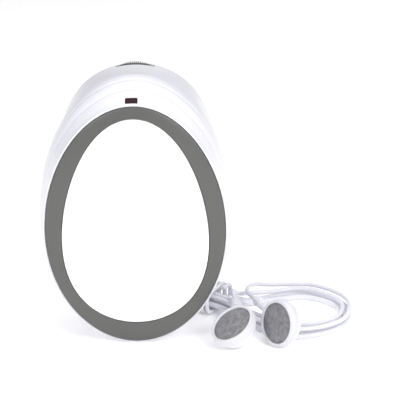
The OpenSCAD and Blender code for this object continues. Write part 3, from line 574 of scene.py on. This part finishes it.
# ---------- The device's shells ----------
@dataclass(frozen=True)
class Shells:
    """Front cover, ring, shells, trim band, window and battery hatch."""

    body: Body
    window_w: float = 4.5
    window_h: float = 3.4
    window_x: float = -0.4
    window_d: float = 3.1
    window_tilt: float = 26.0
    hatch_w: float = 14.2
    hatch_y: float = -27.6
    hatch_gap: float = 0.25
    probe_hole: float = 23.2
    ledge_w: float = 8.5
    ledge_t: float = 1.9
    swell: float = 0.35
    screws: tuple[tuple[float, float], ...] = ((17, 27), (-17, 27), (19, -27), (-19, -27))
    screw_hole: float = 2.4
    wheel_y: float = 36.8
    wheel_slot: tuple[float, float, float] = (12.2, 5.5, 8.5)
    socket_at: tuple[float, float, float] = (20.6, -19.4, 8.7)
    socket_hole: float = 3.0

    @property
    def ring_base(self) -> float:
        """Height at which the ring and cover rest on the front shell."""
        return self.body.ring_z - 2.1

    def scaled(self, f: float, z: float) -> Array:
        """The cover's outline drawn in to a share f of its size."""
        b = self.body
        p = b.loop(b.cover_egg, 0.0, z)
        mid = b.cover_egg[4]
        return np.column_stack([p[:, 0] * f, mid + (p[:, 1] - mid) * f, p[:, 2]])

    def cover(self) -> bpy.types.Object:
        """The domed cover: height falls off as (1 - f squared) to the power 0.73 of the share f."""
        b = self.body
        edge = b.cover_z
        sides = [(0.92, self.ring_base), (1, self.ring_base), (1, edge - 0.45)]
        sides += fillet((1, edge - 0.4), (1, edge), (0.985, edge + 0.06))
        dome = [(f, edge + b.crown * (1 - f * f) ** 0.73) for f in (0.96, *np.linspace(0.92, 0.06, 16))]
        rings = [self.scaled(f, z) for f, z in sides + dome]
        return skin("front_cover_visual", b.standing(rings))

    def ring(self) -> bpy.types.Object:
        """The grey ring: outlines part of the way from the cover's edge to the ring's own."""
        b = self.body

        def band(f: float, z: float) -> Array:
            """The outline a share f of the way from the cover's edge to the ring's."""
            return mix(b.loop(b.cover_egg, b.seam, z), b.loop(b.ring_egg, 0.0, z), f)

        base = self.ring_base
        profile = [(0.0, base), (1.0, base), (1.0, b.ring_z - 0.6)]
        profile += fillet((1.0, b.ring_z - 0.5), (1.0, b.ring_z), (0.92, b.ring_z + 0.05))
        profile += [(0.75, b.ring_z + 0.35), (0.5, b.ring_z + 0.65), (0.25, b.ring_z + 0.93)]
        profile += fillet((0.1, b.cover_z - 0.12), (0.0, b.cover_z), (0.0, b.cover_z - 0.35))
        return skin("front_ring_visual", b.standing([band(f, z) for f, z in profile]), joined=True)

    def _window(self, inset: float, low: float, high: float) -> bpy.types.Object:
        """A box across the shoulder, where the window is."""
        b = self.body
        egg = b.egg(self.window_d)
        tilt = Matrix.Rotation(math.radians(self.window_tilt), 4, "X")
        middle = (self.window_x, egg[4] + egg[1], b.ring_z - self.window_d)
        place = b.stand @ Matrix.Translation(middle) @ tilt
        w, h = self.window_w / 2 - inset, self.window_h / 2 - inset
        return block((-w, low, -h), (w, high, h), place)

    def front(self) -> bpy.types.Object:
        """The front shell, from the ring down to the upper crease."""
        b = self.body
        c = b.crease
        rings = [
            b.loop(b.ring_egg, b.seam, self.ring_base),
            b.loop(b.ring_egg, -self.ledge_w, self.ring_base),
            b.loop(b.ring_egg, -self.ledge_w, self.ring_base - self.ledge_t),
            b.loop(b.ring_egg, 0.4 - b.wall, self.ring_base - self.ledge_t),
            b.section(c - 0.3, -b.wall),
            b.section(c - 0.3, -0.4),
        ]
        rings += [b.section(d, g) for d, g in fillet((c - 0.3, -0.35), (c - 0.35, 0.0), (c - 0.8, 0.0))]
        rings += [b.section(d, 0.0) for d in np.linspace(c - 1.4, 3.2, 6)]
        rings += [b.section(2.4, 0.12), b.section(1.9, 0.22), b.section(1.4, 0.3)]
        lip = b.seam + 0.7
        edge = fillet((lip, 1.1), (lip, 0.7), (b.seam + 0.35, 0.68))
        rings += [b.loop(b.ring_egg, g, b.ring_z - z) for g, z in edge]
        rings += [b.loop(b.ring_egg, b.seam, b.ring_z - 0.7)]
        made = skin("front_shell_visual", b.standing(rings), joined=True, crease=40)
        return carve(made, [self._window(0.0, -4.0, 4.0)], Cut.LESS)

    def lens(self) -> bpy.types.Object:
        """The window, which follows the shoulder just under its surface."""
        b = self.body
        made = skin("window_lens_visual", b.standing([b.section(d, -0.12) for d in np.linspace(8, 1.0, 12)]))
        return carve(made, [self._window(0.12, -3.0, 3.0)], Cut.SHARED)

    def band(self) -> bpy.types.Object:
        """The trim band, swelling between its two creases."""
        b = self.body
        low, high = b.parting - 0.1, b.crease + 0.1
        rings = [b.section(high, -b.wall), b.section(low, -b.wall), b.section(low, -0.4)]
        rings += [b.section(d, g) for d, g in fillet((low, -0.35), (low, 0.0), (low - 0.5, 0.02))]
        for f in np.linspace(0.15, 0.85, 9):
            rings.append(b.section(mix(low, high, f), self.swell * math.sin(math.pi * f) ** 0.8))
        rings += [b.section(d, g) for d, g in fillet((high + 0.5, 0.02), (high, 0.0), (high, -0.35))]
        return skin("trim_band_visual", b.standing(rings), joined=True, crease=40)

    def rear_solid(self, name: str, hollow: bool) -> bpy.types.Object:
        """The rear half as one skin.

        Args:
            name: the piece's name.
            hollow: whether it has only a wall's thickness.
        """
        b = self.body
        rings = [b.loop(b.rear_egg, g, b.floor_z) for g in (-b.rim - 6, -b.rim - 2)]
        turn = np.radians(np.linspace(90, 8, 11))
        for a in turn:
            rings.append(b.loop(b.rear_egg, -b.rim * (1 - math.cos(a)), b.rear_z - b.rim * math.sin(a)))
        depths = np.linspace(b.depth, b.parting + 1.3, 30)
        rings += [b.section(d, 0.0) for d in depths]
        seam = b.parting + 0.1
        rings += [b.section(d, g) for d, g in fillet((seam + 0.7, 0.0), (seam + 0.1, 0.0), (seam, -0.35))]
        if hollow:
            rings += [b.section(d, -b.wall) for d in np.linspace(seam, b.depth, 16)]
            rings += [b.loop(b.rear_egg, -b.wall - 1, b.floor_z + b.wall)]
        return skin(name, b.standing(rings), crease=40)

    def hatch_block(self, grow: float) -> bpy.types.Object:
        """The space that the hatch fills, grown by a clearance."""
        b = self.body
        w = self.hatch_w + grow
        top = b.ring_z - b.parting - 1.3 + grow
        return block((-w, -b.foot - 8, -2), (w, self.hatch_y + grow, top), b.stand)

    def rear(self) -> bpy.types.Object:
        """The rear shell with its holes for the probe, wheel, sockets, screws and hatch."""
        b = self.body
        tools = [rod(self.probe_hole, -1, 9, b.stand, 128), self.hatch_block(self.hatch_gap)]
        for x, y in self.screws:
            at = b.stand @ Matrix.Translation((x, y, 0))
            tools.append(rod(self.screw_hole, 2, 5.6, at, 48))
        wheel = b.stand @ Matrix.Translation((0, self.wheel_y, 0))
        tools.append(rod(*self.wheel_slot, wheel, 128))
        for side in (-1, 1):
            x, y, z = self.socket_at
            across = Matrix.Rotation(side * math.pi / 2, 4, "Y")
            at = b.stand @ Matrix.Translation((side * x, y, z)) @ across
            tools.append(rod(self.socket_hole, 0, 20, at, 64))
        return carve(self.rear_solid("rear_shell_visual", True), tools, Cut.LESS)

    def build(self) -> list[bpy.types.Object]:
        """Builds every shell piece."""
        return [
            settle(self.cover(), "white_cover", "device", "front_cover"),
            settle(self.ring(), "grey_ring", "device", "front_ring"),
            settle(self.front(), "white_shell", "device", "front_shell"),
            settle(self.lens(), "dark_lens", "device", "window_lens"),
            settle(self.band(), "white_shell", "device", "trim_band"),
            settle(self.rear(), "white_shell", "device", "rear_shell"),
        ]


@dataclass(frozen=True)
class Hatch:
    """The battery hatch with the foot that the device stands on."""

    shells: Shells
    foot_half_w: float = 11.0
    foot_low: float = 9.0

    def _foot(self, high: float, sunk: float) -> bpy.types.Object:
        """The foot under the end wall.

        Args:
            high: its front end.
            sunk: how far its top, which follows the wall, is sunk into it.
        """
        half_w, low, base = self.foot_half_w, self.foot_low, -self.shells.body.foot
        b = self.shells.body
        heights = np.linspace(low, high, 13)
        edge = []
        for z in heights:
            x, y, _ = b.section(b.ring_z - z, 0.0).T
            under = y < 0
            order = np.argsort(x[under])
            edge.append(float(np.interp(half_w, x[under][order], y[under][order])) + sunk)
        outline = [(y, z) for y, z in zip(edge, heights)] + [(base, high), (base, low)]
        rings = np.array([[(x, y, z) for y, z in outline] for x in (-half_w, half_w)])
        return skin("hatch_foot_visual", moved(rings, b.stand), crease=20)

    def build(self) -> list[bpy.types.Object]:
        """Builds the hatch: its share of the rear skin, and the foot moulded on it."""
        s = self.shells
        b = s.body
        made = carve(s.rear_solid("battery_hatch_visual", True), [s.hatch_block(0.0)], Cut.SHARED)
        top = b.ring_z - b.parting - 1.3
        foot = self._foot(top, 0.8)
        return [
            settle(made, "white_shell", "hatch", "battery_hatch"),
            settle(foot, "white_shell", "hatch", "battery_hatch"),
        ]


# ---------- The probe ----------
@dataclass(frozen=True)
class Probe:
    """The ultrasound probe in the rear face: its housing and its soft acoustic window."""

    body: Body
    r: float = 23.0
    lens: float = 2.2
    top: float = 8.5

    def build(self) -> list[bpy.types.Object]:
        """Turns the two visible pieces of the probe."""
        r, floor = self.r, self.body.floor_z + self.body.wall
        profile = [(r - 1.8, self.lens), (r - 1.8, 0.7)]
        profile += fillet((r - 1.8, 0.6), (r - 1.8, 0.5), (r - 1.65, 0.5))
        profile += fillet((r - 0.7, 0.5), (r, 0.5), (r, 1.2), 8)
        profile += [(r, floor), (r + 1.8, floor), (r + 1.8, floor + 1.4), (r, floor + 1.4)]
        profile += [(r, self.top), (r - 4, self.top), (r - 4, self.lens)]
        housing = skin("probe_housing_visual", turned(profile, self.body.stand, 160), joined=True)
        face_r = r - 2.0
        rise = [(f * face_r, 0.12 * f * f) for f in np.linspace(0.05, 0.94, 12)]
        profile = rise + fillet((face_r - 0.9, 0.13), (face_r, 0.2), (face_r, 0.9), 6) + [(face_r, self.lens)]
        face = skin("probe_face_visual", turned(profile, self.body.stand, 160), crease=50)
        return [
            settle(housing, "white_shell", "device", "probe_housing"),
            settle(face, "probe_grey", "device", "probe_face"),
        ]


# ---------- Earpieces ----------
@dataclass(frozen=True)
class Bud:
    """One earpiece: a domed shell with a stem, a rim and a woven grille over the driver."""

    name: str
    at: tuple[float, float, float]
    turn: tuple[float, float, float]
    r: float = 8.8
    grille: float = 7.4
    dome: float = 8.6
    stem_base: tuple[float, float, float] = (0.0, 5.5, -6.6)
    stem_out: float = 26.1
    stem_down: float = 23.5

    @property
    def place(self) -> Matrix:
        """Where the earpiece lies: turned about its own axis, leaned over, then turned on the table."""
        z0, up, spin = (math.radians(v) for v in self.turn)
        lean = Matrix.Rotation(math.pi / 2 - up, 4, "Y")
        turn = Matrix.Rotation(z0, 4, "Z") @ lean @ Matrix.Rotation(spin, 4, "Z")
        return Matrix.Translation(self.at) @ turn

    @property
    def stem_end(self) -> Array:
        """Where the cord enters, in the earpiece's own frame."""
        a = math.radians(self.stem_down)
        return self.stem_out * np.array([0.0, math.cos(a), -math.sin(a)])

    @property
    def exit(self) -> tuple[Array, Array]:
        """Where the cord enters and the stem's direction, in the shared frame."""
        way = unit(self.stem_end - np.array(self.stem_base))
        m = np.array(self.place)
        return m[:3, :3] @ self.stem_end + m[:3, 3], m[:3, :3] @ way

    def _shell(self) -> bpy.types.Object:
        """The dome with its opening, joined to the ribbed stem."""
        r = self.r - 0.9
        a = np.radians(np.linspace(0, 88, 20))
        outer = list(zip(r * np.cos(a), -3.2 - (self.dome - 3.2) * np.sin(a)))
        inner = list(zip((r - 1.2) * np.cos(a[::-1]), -3.2 - (self.dome - 4.4) * np.sin(a[::-1])))
        dome = turned(outer[::-1] + inner[::-1], self.place, 128)
        shell = skin(f"{self.name}_bud_shell_visual", dome, crease=40)
        base = np.array(self.stem_base)
        way = unit(self.stem_end - base)
        tilt = Matrix.Translation(self.stem_base) @ Matrix.Rotation(-math.acos(way[2]), 4, "X")
        long = float(np.linalg.norm(self.stem_end - base))
        ribbed = 7.5
        plain = long - ribbed
        profile = [(2.5, 0.0)] + [(mix(2.5, 2.2, f), f * plain) for f in np.linspace(0.1, 0.97, 8)]
        profile += fillet((2.2, plain - 0.3), (2.2, plain), (1.9, plain)) + [(1.7, plain)]
        for i in range(4, 0, -1):
            low = long - i * 1.5 - 0.2
            profile += [(1.7, low)] + fillet((1.95, low), (2.1, low), (2.1, low + 0.15))
            profile += fillet((2.1, low + 0.55), (2.1, low + 0.7), (1.95, low + 0.7)) + [(1.7, low + 0.7)]
        profile += [(1.7, long)]
        stem = skin("tool", turned(profile, self.place @ tilt, 48), crease=50)
        return carve(shell, [stem], Cut.PLUS, 40)

    def _rim(self) -> bpy.types.Object:
        """The rim that holds the grille."""
        r, g = self.r, self.grille
        profile = [(g - 0.9, -0.8), (g - 0.9, -3.2), (r - 0.9, -3.2)]
        profile += fillet((r - 0.3, -3.0), (r, -2.8), (r, -2.3))
        profile += fillet((r, -1.9), (r, -1.1), (r - 0.35, -0.6))
        profile += fillet((g + 1.05, 0.14), (g + 0.75, 0.36), (g + 0.4, 0.3), 6)
        profile += fillet((g + 0.2, 0.18), (g + 0.05, 0.1), (g + 0.05, -0.2)) + [(g + 0.05, -0.8)]
        return skin(f"{self.name}_bud_rim_visual", turned(profile, self.place, 160), joined=True, crease=40)

    def _grille(self) -> bpy.types.Object:
        """The cloth disc, with a flat map in millimetres for its weave."""
        g = self.grille - 0.1
        under = [(0.4, -0.5), (g - 0.4, -0.8), (g, -0.8), (g, -0.3)]
        over = [(f * g, 0.2 - 0.42 * f * f) for f in np.linspace(0.96, 0.04, 14)]
        rings = turned(under + over, Matrix(), 96)
        made = skin(f"{self.name}_bud_grille_visual", moved(rings, self.place), crease=50)
        local = np.vstack([rings.reshape(-1, 3), rings[0].mean(0), rings[-1].mean(0)])
        flat = made.data.uv_layers.new(name="flat")
        corner = np.empty(len(made.data.loops), np.int32)
        made.data.loops.foreach_get("vertex_index", corner)
        flat.data.foreach_set("uv", local[corner, :2].ravel())
        return made

    def build(self) -> list[bpy.types.Object]:
        """Builds the shell, rim and grille."""
        side = self.name
        return [
            settle(self._shell(), "bud_white", "device", f"{side}_bud_shell"),
            settle(self._rim(), "bud_rim", "device", f"{side}_bud_rim"),
            settle(self._grille(), "bud_grille", "device", f"{side}_bud_grille"),
        ]


# ---------- Cords ----------
@dataclass(frozen=True)
class Hank:
    """The bundle that the earphone cord is wound into, narrow where the tie holds it.

    Attributes:
        at: the tie's place on the table.
        mid: how far along the bundle its middle lies from the tie.
        reach: half the bundle's length at its outermost turn.
    """

    at: tuple[float, float] = (28.5, 10.0)
    mid: float = 19.6
    reach: float = 32.2
    turn_in: float = 2.7
    waist: float = 6.2
    pitch: float = 2.85
    low: float = 1.0
    high: float = 3.6
    split: float = 1.852
    gap: float = 0.052

    def centre(self, s: Array) -> Array:
        """The bundle's middle line at distance s from the tie, and its normals.

        The line falls by 0.2 a millimetre, and bends on by the soft ramp (s - root(s squared + 36)) / 2 + 3.
        """
        root = np.sqrt(s * s + 36)
        bend = np.where(s < 0, 0.95, 0.75)
        line = np.column_stack([self.at[0] + s, self.at[1] - 0.2 * s - bend * ((s - root) / 2 + 3)])
        slope = -0.2 - bend * (1 - s / root) / 2
        return line, unit(np.column_stack([-slope, np.ones_like(slope)]))

    def run(self, start: float, end: float, inward: float, steps: int, z: float, way: float) -> Array:
        """Part of the wound cord.

        Args:
            start: where it begins, in turns.
            end: where it ends, in turns.
            inward: how many turns further in the loop lies.
            steps: how many short steps it is made of.
            z: its height where the bundle isn't lifted.
            way: the direction, and how fast the later turns lie further in.

        Returns:
            Points at s = mid - reach cos(t), and across by the power 0.8 of sin(t) times the half width.
        """
        f = np.linspace(0, 1, steps + 1)
        t = mix(start, end, f)
        g = inward + way * (t - start)
        s = self.mid - (self.reach - self.turn_in * g) * np.cos(2 * np.pi * t)
        side = np.sin(2 * np.pi * t)
        bow = np.sign(side) * np.abs(side) ** 0.8
        w = self.waist + np.where(s > 0, 19.5 * smooth(s / 36), 5.2 * smooth(-s / 11))
        pitch = self.pitch + np.where(s > 0, 1.9 * smooth(s / 30), 0.95 * smooth(-s / 9))
        line, normal = self.centre(s)
        flat = line - (bow * (w - g * pitch))[:, None] * normal
        return np.column_stack([flat, z + 2.5 * np.exp(-((s / 9.5) ** 4))])

    def by_tie(self, s: Array, n: Array, z: Array) -> Array:
        """Points beside the tie, at distances along the bundle, across it, and heights."""
        normal = self.centre(np.zeros(1))[1][0]
        along = np.array([normal[1], -normal[0]])
        flat = np.asarray(self.at) + np.multiply.outer(s, along) + np.multiply.outer(n, normal)
        return np.column_stack([flat, z])


@dataclass(frozen=True)
class Earphones:
    """The earphone set: plug, cords, hank, split, tie and both earpieces."""

    left: Bud
    right: Bud
    hank: Hank = Hank()
    cord: float = 2.0
    branch: float = 1.6
    upper: float = 2.6
    plug: tuple[float, float, float] = (31.66, 15.6, 29.0)
    plug_drop: float = 9.0
    shoulder: float = 28.86

    def _wire(self, name: str, points: Array, width: float) -> bpy.types.Object:
        """A round cord on one poly spline through points in millimetres."""
        curve = bpy.data.curves.new(name, "CURVE")
        curve.dimensions = "3D"
        curve.bevel_depth = width / 2 * MM
        curve.bevel_resolution = 6
        curve.use_fill_caps = True
        spline = curve.splines.new("POLY")
        spline.points.add(len(points) - 1)
        spline.points.foreach_set("co", np.column_stack([points * MM, np.ones(len(points))]).ravel())
        spline.use_smooth = True
        obj = bpy.data.objects.new(name, curve)
        bpy.context.scene.collection.objects.link(obj)
        return obj

    def _ends(self) -> tuple[Array, Array, Array, Array]:
        """The wound runs: the cord up to the split, the way on from there, and both branches."""
        h = self.hank
        steps, fine = 45, 6
        low = self.cord / 2
        core = h.run(0, h.split, 0, steps * fine, low, 1)
        core[:, 2] += 1.4 * smooth((np.arange(len(core)) / fine - (steps - 3)) / 3)
        begin = h.split + h.gap - 2
        left = h.run(begin, 0.74, 1.85, 21 * fine, low + self.upper, -0.9)
        right = h.run(begin, 0.68, 0.95, 21 * fine, low + self.upper, -0.95)
        ahead = left[0] - core[-1]
        ahead[2] = 0
        return core, unit(ahead), left, right

    def routes(self) -> tuple[Array, Array, Array, Array]:
        """Centrelines of the cord, the left branch, the right branch and the tie, in millimetres."""
        core, ahead, left, right = self._ends()
        start, way = core[0], unit(core[0] - core[1])
        x, y, z = self.plug
        entry = [
            (x, y, z - self.plug_drop - 2), (30.6, 17.5, 13), (28.4, 21, 9.5), (26.6, 25.4, 7.6),
            (24.2, 29, 4.8), (21.6, 29.4, 2.4), start + 4.5 * way + [0, 0, 0.4], start + 2 * way, start,
        ]
        relief, end = (x, y, z - self.plug_drop), core[-1] + self.cord * ahead
        main = np.vstack([[relief], rounded(entry, 12)[:-1], core, end])
        back = self.branch + float((right[0] - left[0]) @ ahead)
        left_way, right_way = unit(left[-1] - left[-2]), unit(right[-1] - right[-2])
        left_end, left_out = self.left.exit
        right_end, right_out = self.right.exit
        left_tail = [
            left[-1] + 1.5 * left_way, (38.6, 12, 5), (36, 9.6, 7.2), (35.6, 6.2, 8.4),
            left_end + 3 * left_out, left_end,
        ]
        right_tail = [
            right[-1] + 1.5 * right_way, (50, 20.6, 5), (44.5, 17, 6.7), (41.7, 12.5, 7.2), (41.3, 8, 7.4),
            right_end + 3.5 * right_out, right_end,
        ]
        return (
            main,
            np.vstack([left[0] - self.branch * ahead, left, rounded(left_tail, 12)]),
            np.vstack([right[0] - back * ahead, right, rounded(right_tail, 12)]),
            self._tie(),
        )

    def _tie(self) -> Array:
        """The spare cord wound round the hank: 3.22 turns of a blunt oval that moves along it."""
        f = np.linspace(0, 1, 420)
        a = np.radians(10 + 360 * 3.22 * f)

        def blunt(v: Array) -> Array:
            """The root of the value's size, with its sign."""
            return np.sign(v) * np.sqrt(np.abs(v))

        across, height = -0.45 + 8.1 * blunt(np.cos(a)), 4.7 + 3.9 * blunt(np.sin(a))
        return self.hank.by_tie(mix(-4.4, 3.4, f), across, height)

    def _plug(self) -> bpy.types.Object:
        """The moulded right-angle plug: a head across, and an elbow with a tapered relief below."""
        x, y, z = self.plug
        across = Matrix.Translation((self.shoulder, y, z)) @ Matrix.Rotation(math.pi / 2, 4, "Y")
        long = 5.6
        profile = fillet((2.7, 0), (3.2, 0), (3.2, 0.5))
        profile += fillet((3.2, long - 0.9), (3.2, long), (2.3, long), 6)
        head = skin("plug_body_visual", turned(profile, across, 64), crease=50)
        down = Matrix.Translation((x, y, z)) @ Matrix.Rotation(math.pi, 4, "X")
        profile = [(2.6, 0.0), (2.6, 4.9)] + fillet((2.6, 5.0), (2.6, 5.5), (2.1, 5.5))
        profile += [(1.75, 5.5), (1.7, self.plug_drop - 0.3), (1.5, self.plug_drop)]
        elbow = skin("tool", turned(profile, down, 48), crease=50)
        return settle(carve(head, [elbow], Cut.PLUS, 40), "cord_white", "device", "plug_body")

    def _join(self, core_end: Array, left: Array, right: Array) -> bpy.types.Object:
        """The moulded Y: a soft block from the cord's end up to the two branches."""
        ahead = unit(np.array([*(left - core_end)[:2], 0.0]))
        side = np.cross([0.0, 0.0, 1.0], ahead)
        half = self.cord / 2
        low, high = sorted((0.0, float((right - core_end) @ side)))
        turn = np.linspace(0, 2 * np.pi, 33)[:-1]
        rings = []
        for f in np.linspace(0, 1, 13):
            rise = (left[2] - core_end[2]) * smooth(f)
            reach = mix(core_end, core_end + ahead * float((left - core_end) @ ahead), f)
            wide = mix(0.0, (high - low) / 2, smooth(f * 1.4))
            mid = mix(0.0, (high + low) / 2, smooth(f * 1.4))
            shape = np.multiply.outer(np.cos(turn) * half + np.sign(np.cos(turn)) * wide + mid, side)
            shape[:, 2] += np.sin(turn) * half * 1.02
            rings.append(shape + reach + [0, 0, rise])
        made = skin("cord_split_visual", np.stack(rings), crease=50)
        return settle(made, "cord_white", "device", "cord_split")

    def lay_cords(self) -> list[bpy.types.Object]:
        main, left, right, tie = self.routes()
        plans = [
            ("earphone_cord", main, self.cord, "object", "medium", "coiled", ("main_cord", "cord_hank")),
            ("left_branch", left, self.branch, "object", "medium", "coiled", ("left_loop", "left_cord")),
            ("right_branch", right, self.branch, "object", "medium", "coiled", ("right_loop", "right_cord")),
            ("wound_tie", tie, self.branch, "bare", "medium", "coiled", ("cord_tie",)),
        ]
        made = []
        for name, points, width, far, stiff, lay, nodes in plans:
            obj = settle(self._wire(name, points, width), "cord_white", "device", *nodes)
            made.append(obj)
        made.append(self._join(main[-1], left[0], right[0]))
        return made

    def build(self) -> list[bpy.types.Object]:
        """Builds the cords, the plug and the earpieces."""
        return [*self.lay_cords(), self._plug(), *self.left.build(), *self.right.build()]


# ---------- The nodes that stay as the CAD made them ----------
def dress_nodes(nodes: dict[str, bpy.types.Object], rows: list[dict[str, str]]) -> None:
    """Gives every CAD node the finish of its material slot.

    Args:
        nodes: the CAD objects by name.
        rows: the record's list of nodes with their slots.
    """
    for row in rows:
        obj = nodes[row["node"]]
        obj.data.materials.clear()
        obj.data.materials.append(BY_SLOT[row["material_slot"]].make())


# ---------- Studio ----------
@dataclass(frozen=True)
class Studio:
    """The camera of the photograph, a white floor and soft light from the upper right."""

    at: tuple[float, float, float] = (23.62, -601.2, 266.4)
    aim: tuple[float, float, float] = (23.62, -18.57, 54.39)
    down: float = 20.0
    roll: float = 0.671
    lens: float = 155.0
    shift: tuple[float, float] = (-0.00125, 0.0025)

    def camera(self) -> bpy.types.Object:
        """Makes the scene's camera: it looks 20 degrees down, and is rolled by under a degree."""
        data = bpy.data.cameras.new("photo_camera")
        data.lens = self.lens
        data.sensor_width = 36
        data.clip_start, data.clip_end = 0.01, 20
        data.shift_x, data.shift_y = self.shift
        obj = bpy.data.objects.new("photo_camera", data)
        a, roll = math.radians(self.down), math.radians(self.roll)
        right = Vector((1, 0, 0))
        up = Vector((0, math.sin(a), math.cos(a)))
        back = Vector((0, -math.cos(a), math.sin(a)))
        x = math.cos(roll) * right - math.sin(roll) * up
        y = math.cos(roll) * up + math.sin(roll) * right
        turn = Matrix((x, y, back)).transposed().to_4x4()
        obj.matrix_world = Matrix.Translation(Vector(self.at) * MM) @ turn
        bpy.context.scene.collection.objects.link(obj)
        bpy.context.scene.camera = obj
        return obj

    def floor(self) -> bpy.types.Object:
        """A wide white floor whose colour rises to pure white under the studio light."""
        half = 6000.0
        corners = np.array([(-half, -half, 0), (half, -half, 0), (half, half, 0), (-half, half, 0)])
        obj = new_object("floor", corners, [[0, 1, 2, 3]])
        obj.data.materials.append(FLOOR.make())
        return obj

    def _lamp(self, name: str, at: Sequence[float], aim: Sequence[float], size: float, watts: float) -> None:
        """A square soft lamp, in millimetres, aimed at a point."""
        data = bpy.data.lights.new(name, "AREA")
        data.shape = "SQUARE"
        data.size = size * MM
        data.energy = watts
        obj = bpy.data.objects.new(name, data)
        where = Vector(at) * MM
        way = Vector(aim) * MM - where
        obj.matrix_world = Matrix.Translation(where) @ way.to_track_quat("-Z", "Y").to_matrix().to_4x4()
        bpy.context.scene.collection.objects.link(obj)

    def light(self) -> None:
        """White surroundings with three soft lamps."""
        world = bpy.data.worlds.new("studio")
        world.use_nodes = True
        back = world.node_tree.nodes["Background"]
        back.inputs["Color"].default_value = (1, 1, 1, 1)
        back.inputs["Strength"].default_value = 0.26
        bpy.context.scene.world = world
        scene = bpy.context.scene
        scene.view_settings.view_transform = "Standard"
        scene.view_settings.look = "None"
        middle = (5, 0, 45)
        self._lamp("right key", (430, -460, 430), middle, 300, 2.9)
        self._lamp("left key", (-430, -460, 430), middle, 300, 2.1)
        self._lamp("top", (80, 260, 1000), (5, 120, 0), 1300, 7.6)


def main() -> None:
    """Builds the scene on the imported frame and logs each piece."""
    logging.basicConfig(level=logging.INFO, format="%(name)s: %(message)s")
    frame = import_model()
    studio = Studio()
    studio.camera()
    earphones = Earphones(
        left=Bud("left", (34.5, -26.6, 9.6), (211.8, 55.0, 152.0)),
        right=Bud("right", (50.8, -26.0, 9.2), (217.6, 12.4, 178.0)),
    )
    body = Body()
    shells = Shells(body)
    sets: list[Piece] = [earphones, shells, Hatch(shells), Probe(body)]
    for piece in sets:
        made = piece.build()
        LOG.info("%s made %d pieces", type(piece).__name__, len(made))
    dress_nodes(frame["nodes"], frame["record"]["subparts"])
    studio.floor()
    studio.light()
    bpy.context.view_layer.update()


if __name__ == "__main__":
    main()
